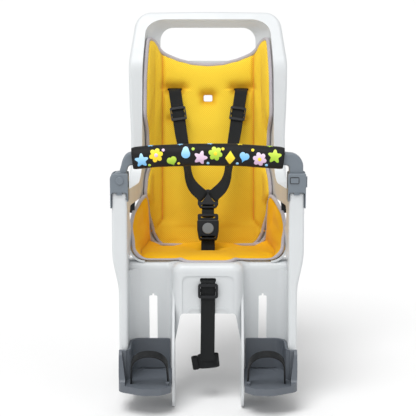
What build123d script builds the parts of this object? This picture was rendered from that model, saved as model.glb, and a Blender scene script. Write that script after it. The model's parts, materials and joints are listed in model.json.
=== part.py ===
"""Child bike seat: a moulded bucket with leg guards, cushions, harness, safety bar and rack plate.

Millimetres. +Z up, the seat faces -Y, origin at the middle of the face that rests on the rack.
"""

import math
import os

from build123d import *

os.makedirs("parts", exist_ok=True)

# Shell
wall = 4.5
recline = 12.0
pan_slope = 5.5
pan_y = -100.0
pan_z = 47.0
back_y = 112.0
back_z = 27.0
back_half = 131.5
corner_r = 45.0
flare = 6.6
cove_r = 32.0
top_z = 521.0
top_r = 34.0
rim_depth = 82.0
rim_top_depth = 26.0
rim_bend = 425.0
rim_bend_r = 90.0
rim_tall = 24.0
arm_z = 182.0
arm_slope = 4.0
rim_turn = 62.0
leg_in = 160.0
leg_back = -112.0
leg_low = -205.0
hump_half = 71.5
hump_front = -152.0
hump_r = 22.0
nook_r = 14.0
well_r = 22.0
lip_r = 16.0
leg_wide = 18.0
arm_wide = 31.0
post_top = 196.0
post_near = -146.0
post_back = -118.0
fin_low = -236.0
panel_low = -51.0

joint_gap = 0.3

# Openings through the shell
handle_wide = 210.0
handle_low = 427.0
handle_high = 498.0
handle_r = 28.0
slot_x = 73.5
slot_z = 365.0
slot_wide = 36.0
slot_tall = 9.0
mid_slot_z = 346.0
mid_slot_wide = 19.0
mid_slot_tall = 14.0
crotch_y = -5.0
hold_z = 18.0
foot_x = 111.5
foot_slot = 16.4
foot_low = -160.5
foot_key = 4.0
panel_half = 52.0
panel_high = 27.0
panel_deep = 1.6

# Cushions
pad_gap = 0.6
back_thick = 18.0
seat_thick = 13.0
back_pad_top = 419.0
back_pad_low = 46.0
wing_back = 16.0
wing_short = 32.0
wing_top = 160.0
wing_gap = 76.0
seat_front = -107.0
tongue_front = -128.0

# Rack plate
plate_half = 80.0
plate_long = 166.0
plate_mid = 5.0
plate_thick = 16.0
boss_r = 7.0
screw_r = 2.0
screw_gap = 0.02
screw_head_r = 4.0
screw_head = 3.0
screw_long = 20.0
rail_x = 60.0
rail_r = 6.2
plate_points = [(-35.0, -55.0), (35.0, -55.0), (-35.0, 65.0), (35.0, 65.0)]

# Safety bar and its brackets
bar_near = -143.0
bar_deep = 22.0
bar_tall = 25.0
arch_r = 1500.0
arch_z = 269.6
arch_gap = 10.5
pin_shift = 1.5
pin_z = 220.0
pin_r = 4.0
pin_run = 0.08
pin_head_r = 8.0
pin_head = 2.6
knuckle_r = 16.4
bar_leg = 28.0
sleeve_tall = 41.0
sleeve_deep = 38.0
sleeve_gap = 0.4
bracket_lip = 2.5
bracket_near = -150.0
bracket_rear = -114.0
bracket_high = 234.0
tail_low = 164.0
tail_in_low = 178.0
plate_gap = 0.4
bar_foot = 203.4
button_wide = 18.0
button_tall = 13.0
button_shift = 5.0
button_z = 220.5
button_gap = 0.3
button_out = 1.6
latch_travel = 3.0
bracket_corner = 11.0
bracket_round = 2.0
notch_wide = 11.0
notch_tall = 5.5
catch_low = 206.0
catch_high = 228.0
catch_out = 2.5
bracket_screw_long = 18.0
screw_edge = 4.5

# What stands on the posts takes its place across the seat from them
arm_out = leg_in + arm_wide
leg_out = leg_in + leg_wide
post_mid = leg_in + arm_wide / 2
bracket_in = leg_in - bracket_lip
bracket_out = arm_out + bracket_lip
arch_half = leg_in - arch_gap
pin_x = pin_shift - post_mid
leg_near = leg_in
leg_far = leg_in + bar_leg
button_x = post_mid - button_shift
bracket_points = [
    (side * post_mid, bar_near + run) for side in (-1, 1) for run in (screw_edge, bar_deep - screw_edge)
]

# Harness
web = 1.6
web_wide = 27.0
web_gap = 0.1
strap_off = 1.6
crotch_wide = 29.0
shoulder_in = 44.0
shoulder_bend = 160.0
yoke_top = 134.0
yoke_half = 22.0
yoke_low = 85.0
yoke_slot_x = 8.5
yoke_slot_v = 109.0
yoke_thick = 4.0
buckle_half = 23.0
buckle_low = 14.0
buckle_mid = 57.0
buckle_high = 71.0
buckle_thick = 11.0
press_r = 12.0
press_gap = 0.3
press_v = 38.0
press_travel = 3.0
glide_v = 300.0
glide_wide = 34.0
glide_rail = 2.8
glide_tall = 31.0
glide_bar = 5.5
glide_thick = 3.6
crotch_fold = 8.0
crotch_plate = 22.0
fold_slack = 1.5
anchor_wide = 52.0
anchor_tall = 30.0
anchor_thick = 4.0

# Strap that goes round the bicycle
hold_wide = 29.0
hold_low = -152.0
hold_run = 3.0
loop_x = -5.5
loop_z = -154.0
loop_half = 28.5
loop_deep = 12.0
loop_tall = 30.0

# Footrests
rest_gap = 0.9
rest_low = -191.0
rest_floor = -177.0
rest_high = -114.0
rest_wall = 4.6
rest_front = -247.0
rest_lip = -222.0
rest_step = -189.5
rest_side = 177.0
rest_travel = 110.0
heel_big = 38.0
heel_small = 29.0
heel_step = 0.9
clip_tall = 26.0
clip_flange = 26.0
clip_thick = 3.2
arch_half_wide = 37.5
arch_high = 72.0
arch_thick = 3.0
arch_wide = 18.0
arch_y = -206.0

# The footrests' slots are as long as the clip and its travel
foot_top = foot_low + clip_tall + 2 * joint_gap + rest_travel

# Tabs at the side windows
tab_y = -35.0
tab_z = 151.0
tab_wide = 14.0
tab_tall = 30.0


def export(piece, label):
    piece.label = label
    export_step(piece, f"parts/{label}.step")


tan_r = math.tan(math.radians(recline))
tan_p = math.tan(math.radians(pan_slope))
tan_f = math.tan(math.radians(flare))
rim_rise = (rim_depth - rim_top_depth) / (top_z - rim_bend)


def back_at(z):
    """Y of the back panel's front face at height z."""
    return back_y + (z - back_z) * tan_r


def pan_at(y):
    """Z of the pan's top face at depth y."""
    return pan_z - (y - pan_y) * tan_p


def bowl(out=0.0, low=-40.0):
    """The room inside the bucket, grown outward by out."""
    shift = out / math.cos(math.radians(recline))
    y_back = back_at(low) + shift
    half = back_half + out / math.cos(math.radians(flare)) - shift * tan_f
    reach = 420.0
    wide = half + reach * tan_f
    floor = pan_at(0) - out / math.cos(math.radians(pan_slope))
    with BuildPart() as room:
        with BuildSketch(Plane.XY.offset(low)):
            with BuildLine():
                FilletPolyline(
                    (-wide, y_back - reach),
                    (-half, y_back),
                    (half, y_back),
                    (wide, y_back - reach),
                    radius=[corner_r + out] * 2,
                )
                Line((wide, y_back - reach), (-wide, y_back - reach))
            make_face()
        extrude(amount=760, dir=(0, tan_r, 1))
        pan = Plane((0, 0, floor), x_dir=(1, 0, 0), z_dir=(0, tan_p, 1))
        split(bisect_by=pan, keep=Keep.TOP)
        split(bisect_by=Plane.XY.offset(top_z + out), keep=Keep.BOTTOM)
        base = room.faces().sort_by(Axis.Z)[0]
        front = room.faces().sort_by(Axis.Y)[0]
        fillet(base.edges() - front.edges(), cove_r + out)
        roof = room.faces().sort_by(Axis.Z)[-1]
        front = room.faces().sort_by(Axis.Y)[0]
        fillet(roof.edges() - front.edges(), top_r + out)
    return room.part


def rim_line(inward=0.0):
    """The rim seen from the side, from above the top down and forward to the post, moved into the wall."""
    high = 640.0
    lean = inward / math.cos(math.radians(recline))
    y_high = back_at(high) - rim_depth + lean + (high - rim_bend) * rim_rise
    y_bend = back_at(rim_bend) - rim_depth + lean
    z_turn = arm_z - inward
    y_turn = back_at(z_turn) - rim_depth + lean
    far = -420.0
    z_far = z_turn + (y_turn - far) * math.tan(math.radians(arm_slope))
    return [(y_high, high), (y_bend, rim_bend), (y_turn, z_turn), (far, z_far)]


def side_solid(points, radius, half=260.0):
    """A side-view outline in (Y, Z), drawn right across the seat."""
    with BuildPart() as cut:
        with BuildSketch(Plane.YZ.offset(-half)):
            with BuildLine():
                FilletPolyline(*points, radius=radius, close=True)
            make_face()
        extrude(amount=2 * half)
    return cut.part


def plan_solid(points, radius, low, high):
    """A top-view outline in (X, Y), drawn from low to high."""
    with BuildPart() as block:
        with BuildSketch(Plane.XY.offset(low)):
            with BuildLine():
                FilletPolyline(*points, radius=radius, close=True)
            make_face()
        extrude(amount=high - low)
    return block.part


def front_solid(points, radius, near=-420.0, far=420.0):
    """A front-view outline in (X, Z), drawn from near to far along Y."""
    with BuildPart() as block:
        with BuildSketch(Plane.XZ.offset(-near)):
            with BuildLine():
                FilletPolyline(*points, radius=radius, close=True)
            make_face()
        extrude(amount=near - far)
    return block.part


def apron(inward, rear):
    """The front skirt with the hump, as a solid block moved inward by the wall."""
    side = leg_in + wall - inward
    hump = hump_half - inward
    y_back = leg_back + inward
    y_front = hump_front + inward
    block = plan_solid(
        [
            (-side, rear),
            (side, rear),
            (side, y_back),
            (hump, y_back),
            (hump, y_front),
            (-hump, y_front),
            (-hump, y_back),
            (-side, y_back),
        ],
        [0, 0, 0, nook_r + inward, hump_r - inward, hump_r - inward, nook_r + inward, 0],
        -420.0 if inward else leg_low,
        120.0,
    )
    with BuildPart() as skirt:
        add(block)
        pan = Plane((0, 0, pan_at(0) - inward), x_dir=(1, 0, 0), z_dir=(0, tan_p, 1))
        split(bisect_by=pan, keep=Keep.BOTTOM)
        lid = skirt.faces().sort_by(Axis.Z)[-1]
        ends = lid.edges().filter_by(lambda e: e.center().Y > rear - 1 or abs(e.center().X) > side - 1)
        fillet(lid.edges() - ends, lip_r - inward)
    return skirt.part


def both(piece):
    """The piece and its mirror image across the seat."""
    with BuildPart() as pair:
        add(piece)
        mirror(piece, about=Plane.YZ)
    return pair.part


def block(x0, x1, y0, y1, z0, z1):
    """A plain box between two corners."""
    with BuildPart() as box:
        with Locations(((x0 + x1) / 2, (y0 + y1) / 2, (z0 + z1) / 2)):
            Box(x1 - x0, y1 - y0, z1 - z0)
    return box.part


def up_back(z):
    """Distance up the back panel for a height z."""
    return (z - back_z) / math.cos(math.radians(recline))


back_plane = Plane(
    (0, back_y, back_z),
    x_dir=(1, 0, 0),
    z_dir=(0, -math.cos(math.radians(recline)), math.sin(math.radians(recline))),
)

# The harness lies in one sloping plane from the crotch slot up to the shoulder slots
strap_run = pad_gap + back_thick + strap_off
shoulder_y = back_at(slot_z) - strap_run * math.cos(math.radians(recline))
shoulder_z = slot_z + strap_run * math.sin(math.radians(recline))
crotch_z = pan_at(crotch_y) + pad_gap + seat_thick
slope_long = math.hypot(shoulder_y - crotch_y, shoulder_z - crotch_z)
slope_y = (shoulder_y - crotch_y) / slope_long
slope_z = (shoulder_z - crotch_z) / slope_long
harness = Plane((0, crotch_y, crotch_z), x_dir=(1, 0, 0), z_dir=(0, -slope_z, slope_y))

# The rim that runs round the back and forward along the armrests: an outline narrowing to the back
room = bowl(0.0)
outer = rim_line()
inner = rim_line(rim_tall)
rim_band = side_solid(
    outer + inner[::-1],
    [0, rim_bend_r, rim_turn, 0, 0, rim_turn + rim_tall, rim_bend_r + rim_tall, 0],
)
rim_half = [
    (arm_out + 2, top_z + 48),
    (arm_out + 9, 430.0),
    (arm_out + 5, 350.0),
    (arm_out - 0.6, 275.0),
    (arm_out - 3, 120.0),
    (arm_out - 3, 0.0),
]
rim_round = [72, 300, 300, 300, 300, 0]
with BuildPart() as rim:
    with BuildSketch(Plane.XZ.offset(10 - post_back)):
        with BuildLine():
            FilletPolyline(
                (0, top_z + 51),
                *rim_half,
                *[(-x, z) for x, z in rim_half[::-1]],
                radius=[1500] + rim_round + rim_round[::-1],
                close=True,
            )
        make_face()
    extrude(amount=-420.0, taper=flare)
    add(rim_band, mode=Mode.INTERSECT)
    rounded = rim.edges().filter_by(lambda e: e.center().Y > post_back - 9 and e.length > 6)
    ends = rim.faces().sort_by(Axis.Y)[:2].edges()
    fillet(rounded - ends, 7.0)
    add(room, mode=Mode.SUBTRACT)

# One post with its leg guard's front edge
post_front = [(post_near, post_top), (-150.0, 130.0), (-163.0, 0.0), (-183.0, -140.0), (-188.0, leg_low)]
post_rear = [(-168.0, leg_low), (-163.0, -140.0), (-140.0, 0.0), (-124.0, 130.0), (post_back, post_top)]
outside = front_solid(
    [
        (arm_out, 300.0),
        (arm_out, 64.0),
        (leg_out, 4.0),
        (leg_out - 2.0, -300.0),
        (300.0, -300.0),
        (300.0, 300.0),
    ],
    [0, 150, 150, 0, 0, 0],
)
with BuildPart() as post:
    with BuildSketch(Plane.YZ.offset(leg_in)):
        with BuildLine():
            FilletPolyline(*post_front, *post_rear, radius=[0, 200, 200, 90, 0, 0, 90, 200, 200, 0], close=True)
        make_face()
    extrude(amount=arm_wide + leg_wide)
    add(outside, mode=Mode.SUBTRACT)
    fillet(post.edges().filter_by(lambda e: e.length > 10), min(6.0, leg_wide / 3))

# The thin wall behind that edge, its cove, and the fin beside the hump
with BuildPart() as guard:
    with BuildSketch(Plane.YZ.offset(leg_in)):
        with BuildLine():
            FilletPolyline(
                (-86.0, 120.0),
                (-86.0, 20.0),
                (leg_back + wall, -60.0),
                (leg_back + wall, leg_low + 14),
                (-130.0, leg_low),
                (-178.0, leg_low),
                (-172.0, -140.0),
                (-150.0, 0.0),
                (-134.0, 120.0),
                radius=[0, 30, 30, 20, 20, 0, 90, 200, 0],
                close=True,
            )
        make_face()
    extrude(amount=wall)
with BuildPart() as cove:
    with BuildSketch(Plane.XY.offset(leg_low)):
        with BuildLine():
            mid = well_r * (1 - math.sqrt(0.5))
            ThreePointArc(
                (leg_in - well_r, leg_back),
                (leg_in - mid, leg_back - mid),
                (leg_in, leg_back - well_r),
            )
            Polyline(
                (leg_in, leg_back - well_r),
                (leg_in + 1, leg_back - well_r),
                (leg_in + 1, leg_back + 1),
                (leg_in - well_r, leg_back + 1),
                (leg_in - well_r, leg_back),
            )
        make_face()
    extrude(amount=pan_at(leg_back) - lip_r - leg_low)
with BuildPart() as fin:
    with BuildSketch(Plane.YZ.offset(hump_half - wall)):
        with BuildLine():
            FilletPolyline(
                (leg_back + wall, 10.0),
                (hump_front + 24, 10.0),
                (hump_front + 4, -40.0),
                (-196.0, -120.0),
                (-204.0, fin_low),
                (-140.0, fin_low),
                (leg_back + wall, leg_low),
                radius=[0, 30, 60, 60, 26, 40, 10],
                close=True,
            )
        make_face()
    extrude(amount=wall)

# Under the pan: a box-shaped seat for the rack plate with four screw bosses
with BuildPart() as pedestal:
    with BuildSketch(Plane.XY.offset(plate_thick + joint_gap)):
        with Locations((0, plate_mid)):
            RectangleRounded(2 * plate_half - 12, plate_long - 12, 14)
            RectangleRounded(2 * plate_half - 12 - 2 * wall, plate_long - 12 - 2 * wall, 10, mode=Mode.SUBTRACT)
        with Locations(*plate_points):
            Circle(boss_r)
            Circle(screw_r + screw_gap, mode=Mode.SUBTRACT)
    extrude(amount=60.0)
    pan_cut = Plane((0, 0, pan_at(0) - wall / 2), x_dir=(1, 0, 0), z_dir=(0, tan_p, 1))
    split(bisect_by=pan_cut, keep=Keep.BOTTOM)

bowl_out = bowl(wall)
ahead = rim_line(9.0) + [(-600.0, rim_line(9.0)[-1][1]), (-600.0, 640.0)]
ahead_cut = side_solid(ahead, [0, rim_bend_r, rim_turn + 9.0, 0, 0, 0])
skirt_out = apron(0.0, -60.0)
skirt_in = apron(wall, 100.0)
skirt_back = side_solid(
    [(-58.0, pan_at(-58.0) - wall), (leg_back + wall, -60.0), (leg_back + wall, -400.0), (0.0, -400.0), (0.0, 20.0)],
    [0, 0, 0, 0, 0],
)
with BuildPart() as skirt:
    add(skirt_out)
    add(skirt_in, mode=Mode.SUBTRACT)
    add(skirt_back, mode=Mode.SUBTRACT)

pair_posts = both(post.part)
pair_guards = both(guard.part)
pair_coves = both(cove.part)
pair_fins = both(fin.part)
under_cut = front_solid(
    [(-55.0, panel_low), (55.0, panel_low), (67.0, -113.0), (67.0, -400.0), (-67.0, -400.0), (-67.0, -113.0)],
    [8, 8, 60, 0, 0, 60],
    -400.0,
    leg_back + wall + 1,
)
panel_cut = front_solid(
    [
        (-panel_half, panel_high),
        (panel_half, panel_high),
        (panel_half, panel_low - 20),
        (-panel_half, panel_low - 20),
    ],
    [12, 12, 0, 0],
    hump_front - 5,
    hump_front + panel_deep,
)


def ridge_block(inward):
    """The arch over the hump's lower edge, as a block moved inward."""
    half = panel_half - 2 - inward
    high = panel_low + 12 - inward
    return front_solid(
        [(-half, panel_low - 9), (12 - half, high), (half - 12, high), (half, panel_low - 9)],
        [0, 7, 7, 0],
        hump_front + 0.2,
        hump_front + panel_deep + 1,
    )


ridge_in = ridge_block(3.2)
with BuildPart() as ridge:
    add(ridge_block(0.0))
    add(ridge_in, mode=Mode.SUBTRACT)
window = [(38.0, 150.0), (-86.0, 158.0), (-100.0, 140.0), (-74.0, 84.0), (0.0, 74.0), (48.0, 96.0)]
window_cut = side_solid(window, [16, 12, 12, 22, 40, 24])
window_keep = block(-130.0, 130.0, -300.0, 300.0, 0.0, 300.0)
with BuildPart() as windows:
    add(window_cut)
    add(window_keep, mode=Mode.SUBTRACT)

with BuildPart() as seat_shell:
    add(bowl_out)
    add(ahead_cut, mode=Mode.SUBTRACT)
    with Locations((0, -140 - 250, 200)):
        Box(600, 500, 800, mode=Mode.SUBTRACT)
    with Locations((0, -250 - 95, 0)):
        Box(2 * (leg_in - cove_r), 500, 2 * 88, mode=Mode.SUBTRACT)
    with Locations((0, -250 + leg_back + wall, 0)):
        Box(2 * leg_in - 6, 500, 2 * 88, mode=Mode.SUBTRACT)
    add(pedestal.part)
    add(skirt.part)
    add(room, mode=Mode.SUBTRACT)
    add(rim.part)
    add(pair_posts)
    add(pair_guards)
    add(pair_coves)
    add(pair_fins)
    add(panel_cut, mode=Mode.SUBTRACT)
    add(ridge.part)
    add(under_cut, mode=Mode.SUBTRACT)
    add(windows.part, mode=Mode.SUBTRACT)
    with BuildSketch(back_plane):
        with Locations((0, up_back((handle_low + handle_high) / 2))):
            RectangleRounded(handle_wide, up_back(handle_high) - up_back(handle_low), handle_r)
        with Locations((-slot_x, up_back(slot_z)), (slot_x, up_back(slot_z))):
            SlotOverall(slot_wide, slot_tall)
        with Locations((0, up_back(mid_slot_z))):
            RectangleRounded(mid_slot_wide, mid_slot_tall, 3)
    extrude(amount=30.0, both=True, mode=Mode.SUBTRACT)
    with BuildSketch(harness.offset(-4)):
        with Locations((0, -20)):
            Rectangle(slot_wide, 44)
    extrude(amount=8.0, mode=Mode.SUBTRACT)
    with BuildSketch(Plane.XZ.offset(-hump_front + 5)):
        with Locations((0, hold_z)):
            RectangleRounded(slot_wide - 4, slot_tall, 3)
    extrude(amount=-20.0, mode=Mode.SUBTRACT)
    with BuildSketch(Plane.XZ.offset(-leg_back + 2)):
        for side in (-1, 1):
            with Locations((side * foot_x, (foot_top + foot_low) / 2)):
                RectangleRounded(foot_slot, foot_top - foot_low, 3)
            with Locations((side * foot_x, foot_top)):
                Rectangle(foot_key, 2 * foot_key)
    extrude(amount=-(wall + 4), mode=Mode.SUBTRACT)
    with BuildSketch(Plane.XY.offset(post_top + 5)):
        with Locations(*bracket_points):
            Circle(screw_r + screw_gap)
    extrude(amount=bar_foot - plate_gap - bracket_screw_long - post_top - 5, mode=Mode.SUBTRACT)

export(seat_shell.part, "seat_shell")

# Cushions
pad_out = bowl(-pad_gap)
back_in = bowl(-pad_gap - back_thick)
seat_in = bowl(-pad_gap - seat_thick)
back_outline = front_solid(
    [
        (0.0, back_pad_top),
        (60.0, back_pad_top + 9),
        (101.0, back_pad_top + 26),
        (134.0, back_pad_top + 62),
        (146.0, back_pad_top + 52),
        (146.0, 240.0),
        (126.0, 190.0),
        (126.0, back_pad_low + 42),
        (96.0, back_pad_low),
        (-96.0, back_pad_low),
        (-126.0, back_pad_low + 42),
        (-126.0, 190.0),
        (-146.0, 240.0),
        (-146.0, back_pad_top + 52),
        (-134.0, back_pad_top + 62),
        (-101.0, back_pad_top + 26),
        (-60.0, back_pad_top + 9),
    ],
    [60, 60, 40, 8, 8, 30, 30, 26, 26, 26, 26, 30, 30, 8, 8, 40, 60],
)
wing_reach = rim_depth - wing_back
wing_keep = side_solid(
    [
        (back_at(0.0) - wing_short, 0.0),
        (back_at(180.0) - wing_short, 180.0),
        (back_at(240.0) - wing_reach, 240.0),
        (back_at(rim_bend) - wing_reach, rim_bend),
        (back_at(600.0) - wing_reach + (600.0 - rim_bend) * rim_rise, 600.0),
        (600.0, 600.0),
        (600.0, 0.0),
    ],
    [0, 30, 30, 60, 0, 0, 0],
)
with BuildPart() as back_pad:
    add(pad_out)
    add(back_in, mode=Mode.SUBTRACT)
    add(back_outline, mode=Mode.INTERSECT)
    add(wing_keep, mode=Mode.INTERSECT)
    with BuildSketch(back_plane):
        with Locations((-slot_x, up_back(slot_z)), (slot_x, up_back(slot_z))):
            SlotOverall(slot_wide, slot_tall)
        with Locations((0, up_back(mid_slot_z))):
            RectangleRounded(mid_slot_wide, mid_slot_tall, 3)
    extrude(amount=40.0, both=True, mode=Mode.SUBTRACT)

export(back_pad.part, "back_pad")

rear_run = pad_gap + back_thick + joint_gap + 1
seat_rear = back_at(back_pad_low) - rear_run / math.cos(math.radians(recline))
seat_side = side_solid(
    [
        (seat_rear, 0.0),
        (seat_rear, back_pad_low - 2),
        (back_at(wing_top) - wing_gap, wing_top),
        (back_at(wing_top) - wing_gap - 26, wing_top + 2),
        (-60.0, 122.0),
        (-88.0, 84.0),
        (-112.0, 66.0),
        (-160.0, 60.0),
        (-160.0, 0.0),
    ],
    [0, 20, 14, 20, 40, 30, 20, 0, 0],
)
seat_plan = plan_solid(
    [
        (-200.0, 200.0),
        (200.0, 200.0),
        (200.0, seat_front),
        (58.0, seat_front),
        (44.0, tongue_front),
        (-44.0, tongue_front),
        (-58.0, seat_front),
        (-200.0, seat_front),
    ],
    [0, 0, 0, 12, 12, 12, 12, 0],
    0.0,
    300.0,
)
with BuildPart() as seat_pad:
    add(pad_out)
    add(seat_in, mode=Mode.SUBTRACT)
    add(seat_side, mode=Mode.INTERSECT)
    add(seat_plan, mode=Mode.INTERSECT)
    with BuildSketch(harness.offset(-4)):
        with Locations((0, -15)):
            Rectangle(slot_wide, 50)
    extrude(amount=8.0, mode=Mode.SUBTRACT)

export(seat_pad.part, "seat_pad")

# Safety bar: a flat-sided arch with a horn to the hinge and a leg to the latch
centre_z = arch_z - arch_r
arch_turn = math.degrees(math.asin(arch_half / arch_r))


def on_arch(x, radial):
    """Height of the arch at x, moved out from its middle line."""
    return centre_z + math.sqrt((arch_r + radial) ** 2 - x * x)


def arch_fall(x, radial):
    """Slope of the arch at x."""
    return x / math.sqrt((arch_r + radial) ** 2 - x * x)


half_tall = bar_tall / 2
reach = arch_half + 1.5
fall_top = arch_fall(reach, half_tall)
fall_low = arch_fall(reach, -half_tall)
with BuildPart() as knuckle:
    with BuildSketch(Plane.XZ.offset(-bar_near - bar_deep)):
        with Locations((pin_x, pin_z)):
            Circle(knuckle_r)
    extrude(amount=bar_deep)
    fillet(knuckle.edges(), 2.5)
with BuildPart() as safety_bar:
    with BuildSketch(Plane.XZ.offset(-bar_near - bar_deep)):
        with BuildLine():
            ThreePointArc(
                (-reach, on_arch(-reach, half_tall)),
                (0, arch_z + half_tall),
                (reach, on_arch(reach, half_tall)),
            )
            FilletPolyline(
                (reach, on_arch(reach, half_tall)),
                (leg_far, on_arch(reach, half_tall) - (leg_far - reach) * fall_top),
                (leg_far, bar_foot),
                (leg_near, bar_foot),
                (leg_near, on_arch(reach, -half_tall) - (leg_near - reach) * fall_low),
                (reach, on_arch(reach, -half_tall)),
                radius=[27, 5, 5, 7],
            )
            ThreePointArc(
                (reach, on_arch(reach, -half_tall)),
                (0, arch_z - half_tall),
                (-reach, on_arch(-reach, -half_tall)),
            )
            Spline(
                (-reach, on_arch(-reach, -half_tall)),
                (pin_x + 14.5, pin_z + 19),
                (pin_x + 11, pin_z + 6),
                tangents=[(-1, -fall_low), (-0.2, -1)],
            )
            Line((pin_x + 11, pin_z + 6), (pin_x - 2, pin_z + 8))
            Spline(
                (pin_x - 2, pin_z + 8),
                (pin_x + 2, pin_z + 27),
                (-reach, on_arch(-reach, half_tall)),
                tangents=[(0, 1), (1, fall_top)],
            )
        make_face()
    extrude(amount=bar_deep)
    flat = safety_bar.faces().filter_by(Axis.Y)
    long_edges = flat.edges().filter_by(lambda e: e.center().Z > pin_z + 10 or e.center().X > 0)
    fillet(long_edges, 4.0)
    add(knuckle.part)
    with BuildSketch(Plane.XZ.offset(-bar_near - bar_deep - 5)):
        with Locations((pin_x, pin_z)):
            Circle(pin_r + pin_run)
    extrude(amount=bar_deep + 10, mode=Mode.SUBTRACT)
    with BuildSketch(Plane.XZ.offset(-bar_near)):
        with Locations((button_x, button_z)):
            Rectangle(button_wide + 2, button_tall + 3)
    extrude(amount=-latch_travel - 2, mode=Mode.SUBTRACT)

export(safety_bar.part, "safety_bar")

turn = math.radians(-arch_turn)
sleeve_plane = Plane(
    (arch_r * math.sin(turn), bar_near + bar_deep / 2, centre_z + arch_r * math.cos(turn)),
    x_dir=(0, 1, 0),
    z_dir=(math.cos(turn), 0, -math.sin(turn)),
)
with BuildPart() as bar_sleeve:
    with BuildSketch(sleeve_plane):
        RectangleRounded(sleeve_deep, sleeve_tall, 17)
        RectangleRounded(bar_deep + 2 * sleeve_gap, bar_tall + 2 * sleeve_gap, 4, mode=Mode.SUBTRACT)
    revolve(axis=Axis((0, 0, centre_z), (0, 1, 0)), revolution_arc=2 * arch_turn)

export(bar_sleeve.part, "bar_sleeve")


def bracket(side, corner):
    """A cap on the post: two cheeks with the bar between them and two tails down the post's sides."""
    pocket = [
        (side * (arm_out + joint_gap), post_top + joint_gap),
        (side * (arm_out + joint_gap), 0.0),
        (side * (leg_in - joint_gap), 0.0),
        (side * (leg_in - joint_gap), post_top + joint_gap),
    ]
    pocket_cut = front_solid(pocket, [5, 0, 0, 5])
    low_x, high_x = sorted((side * (bracket_in - 1), side * leg_in))
    tail_cut = block(low_x, high_x, -300, 0, 0, tail_in_low)
    gap_cut = block(-300, 300, bar_near - plate_gap, bar_near + bar_deep + plate_gap, bar_foot - plate_gap, 400)
    body = front_solid(
        [
            (side * bracket_in, tail_low),
            (side * bracket_out, tail_low),
            (side * bracket_out, bracket_high),
            (side * bracket_in, bracket_high),
        ],
        [2, 2, corner, 3],
        bracket_near,
        bracket_rear,
    )
    notch_x = sorted((side * (post_mid - notch_wide / 2), side * (post_mid + notch_wide / 2)))
    notch = block(*notch_x, bracket_near + 1, post_near - joint_gap, post_top - notch_tall, post_top + 1)
    with BuildPart() as cap:
        add(body)
        fillet(cap.faces().sort_by(Axis.Y)[0].edges(), bracket_round)
        fillet(cap.faces().sort_by(Axis.Y)[-1].edges(), bracket_round)
        add(gap_cut, mode=Mode.SUBTRACT)
        add(pocket_cut, mode=Mode.SUBTRACT)
        add(tail_cut, mode=Mode.SUBTRACT)
        add(notch)
        with BuildSketch(Plane.XY.offset(bar_foot)):
            with Locations(*bracket_points):
                Circle(screw_r + screw_gap)
        extrude(amount=-20.0, mode=Mode.SUBTRACT)
    return cap.part


hinge_cap = bracket(-1, bracket_corner)
with BuildPart() as hinge_bracket:
    add(hinge_cap)
    with BuildSketch(Plane.XZ.offset(-bracket_near + 5)):
        with Locations((pin_x, pin_z)):
            Circle(pin_r + 0.01)
    extrude(amount=-60, mode=Mode.SUBTRACT)

export(hinge_bracket.part, "hinge_bracket")

with BuildPart() as hinge_pin:
    with BuildSketch(Plane.XZ.offset(-bracket_near)):
        with Locations((pin_x, pin_z)):
            Circle(pin_r)
    extrude(amount=bracket_near - bracket_rear)
    with BuildSketch(Plane.XZ.offset(-bracket_near), Plane.XZ.offset(-bracket_rear - pin_head)):
        with Locations((pin_x, pin_z)):
            Circle(pin_head_r)
    extrude(amount=pin_head)
    fillet(hinge_pin.edges().group_by(Axis.Y)[0], pin_head - 0.6)

export(hinge_pin.part, "hinge_pin")

latch_cap = bracket(1, 3)
tab = block(
    bracket_out - 1,
    bracket_out + catch_out,
    bracket_near + 5,
    bar_near - plate_gap,
    catch_low,
    catch_high,
)
with BuildPart() as latch_bracket:
    add(latch_cap)
    add(tab)
    with BuildSketch(Plane.XZ.offset(-bracket_near + 5)):
        with Locations((button_x, button_z)):
            RectangleRounded(button_wide + 2 * button_gap, button_tall + 2 * button_gap, 2.5)
    extrude(amount=-12, mode=Mode.SUBTRACT)

export(latch_bracket.part, "latch_bracket")

with BuildPart() as latch_button:
    with BuildSketch(Plane.XZ.offset(-bar_near + plate_gap)):
        with Locations((button_x, button_z)):
            RectangleRounded(button_wide, button_tall, 2.2)
    extrude(amount=bar_near - plate_gap - bracket_near + button_out)
    fillet(latch_button.faces().sort_by(Axis.Y)[0].edges(), 1.0)

export(latch_button.part, "latch_button")

# Two screws down through each bracket into the post
with BuildPart() as bracket_screws:
    with BuildSketch(Plane.XY.offset(bar_foot - plate_gap)):
        with Locations(*bracket_points):
            Circle(screw_r)
    extrude(amount=-bracket_screw_long)

export(bracket_screws.part, "bracket_screws")

# Harness webbing, hardware and buckle, drawn in the harness plane
face = web / 2 + web_gap
shoulder_top = slope_long + 0.6
lean = math.degrees(math.atan2(slot_x - shoulder_in, shoulder_top - shoulder_bend))


def shoulder_strap(side):
    """A strap from behind the back, out through the slot, down to the yoke."""
    with BuildPart() as strap:
        with BuildSketch(harness.offset(-web / 2)):
            with BuildLine():
                FilletPolyline(
                    (side * slot_x, shoulder_top),
                    (side * shoulder_in, shoulder_bend),
                    (side * yoke_slot_x, yoke_slot_v),
                    radius=22.0,
                )
            trace(line_width=web_wide)
            with Locations((-side * (web_wide - web_gap), yoke_top)):
                Rectangle(2 * web_wide, 120.0, mode=Mode.SUBTRACT)
            with Locations((side * slot_x, shoulder_top + 20)):
                Rectangle(90.0, 40.0, mode=Mode.SUBTRACT)
        extrude(amount=web)
        with BuildSketch(back_plane.offset(-wall)):
            with Locations((side * slot_x, up_back(slot_z))):
                Rectangle(web_wide, web)
        extrude(amount=wall + strap_run + web / 2)
    return strap.part


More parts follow.
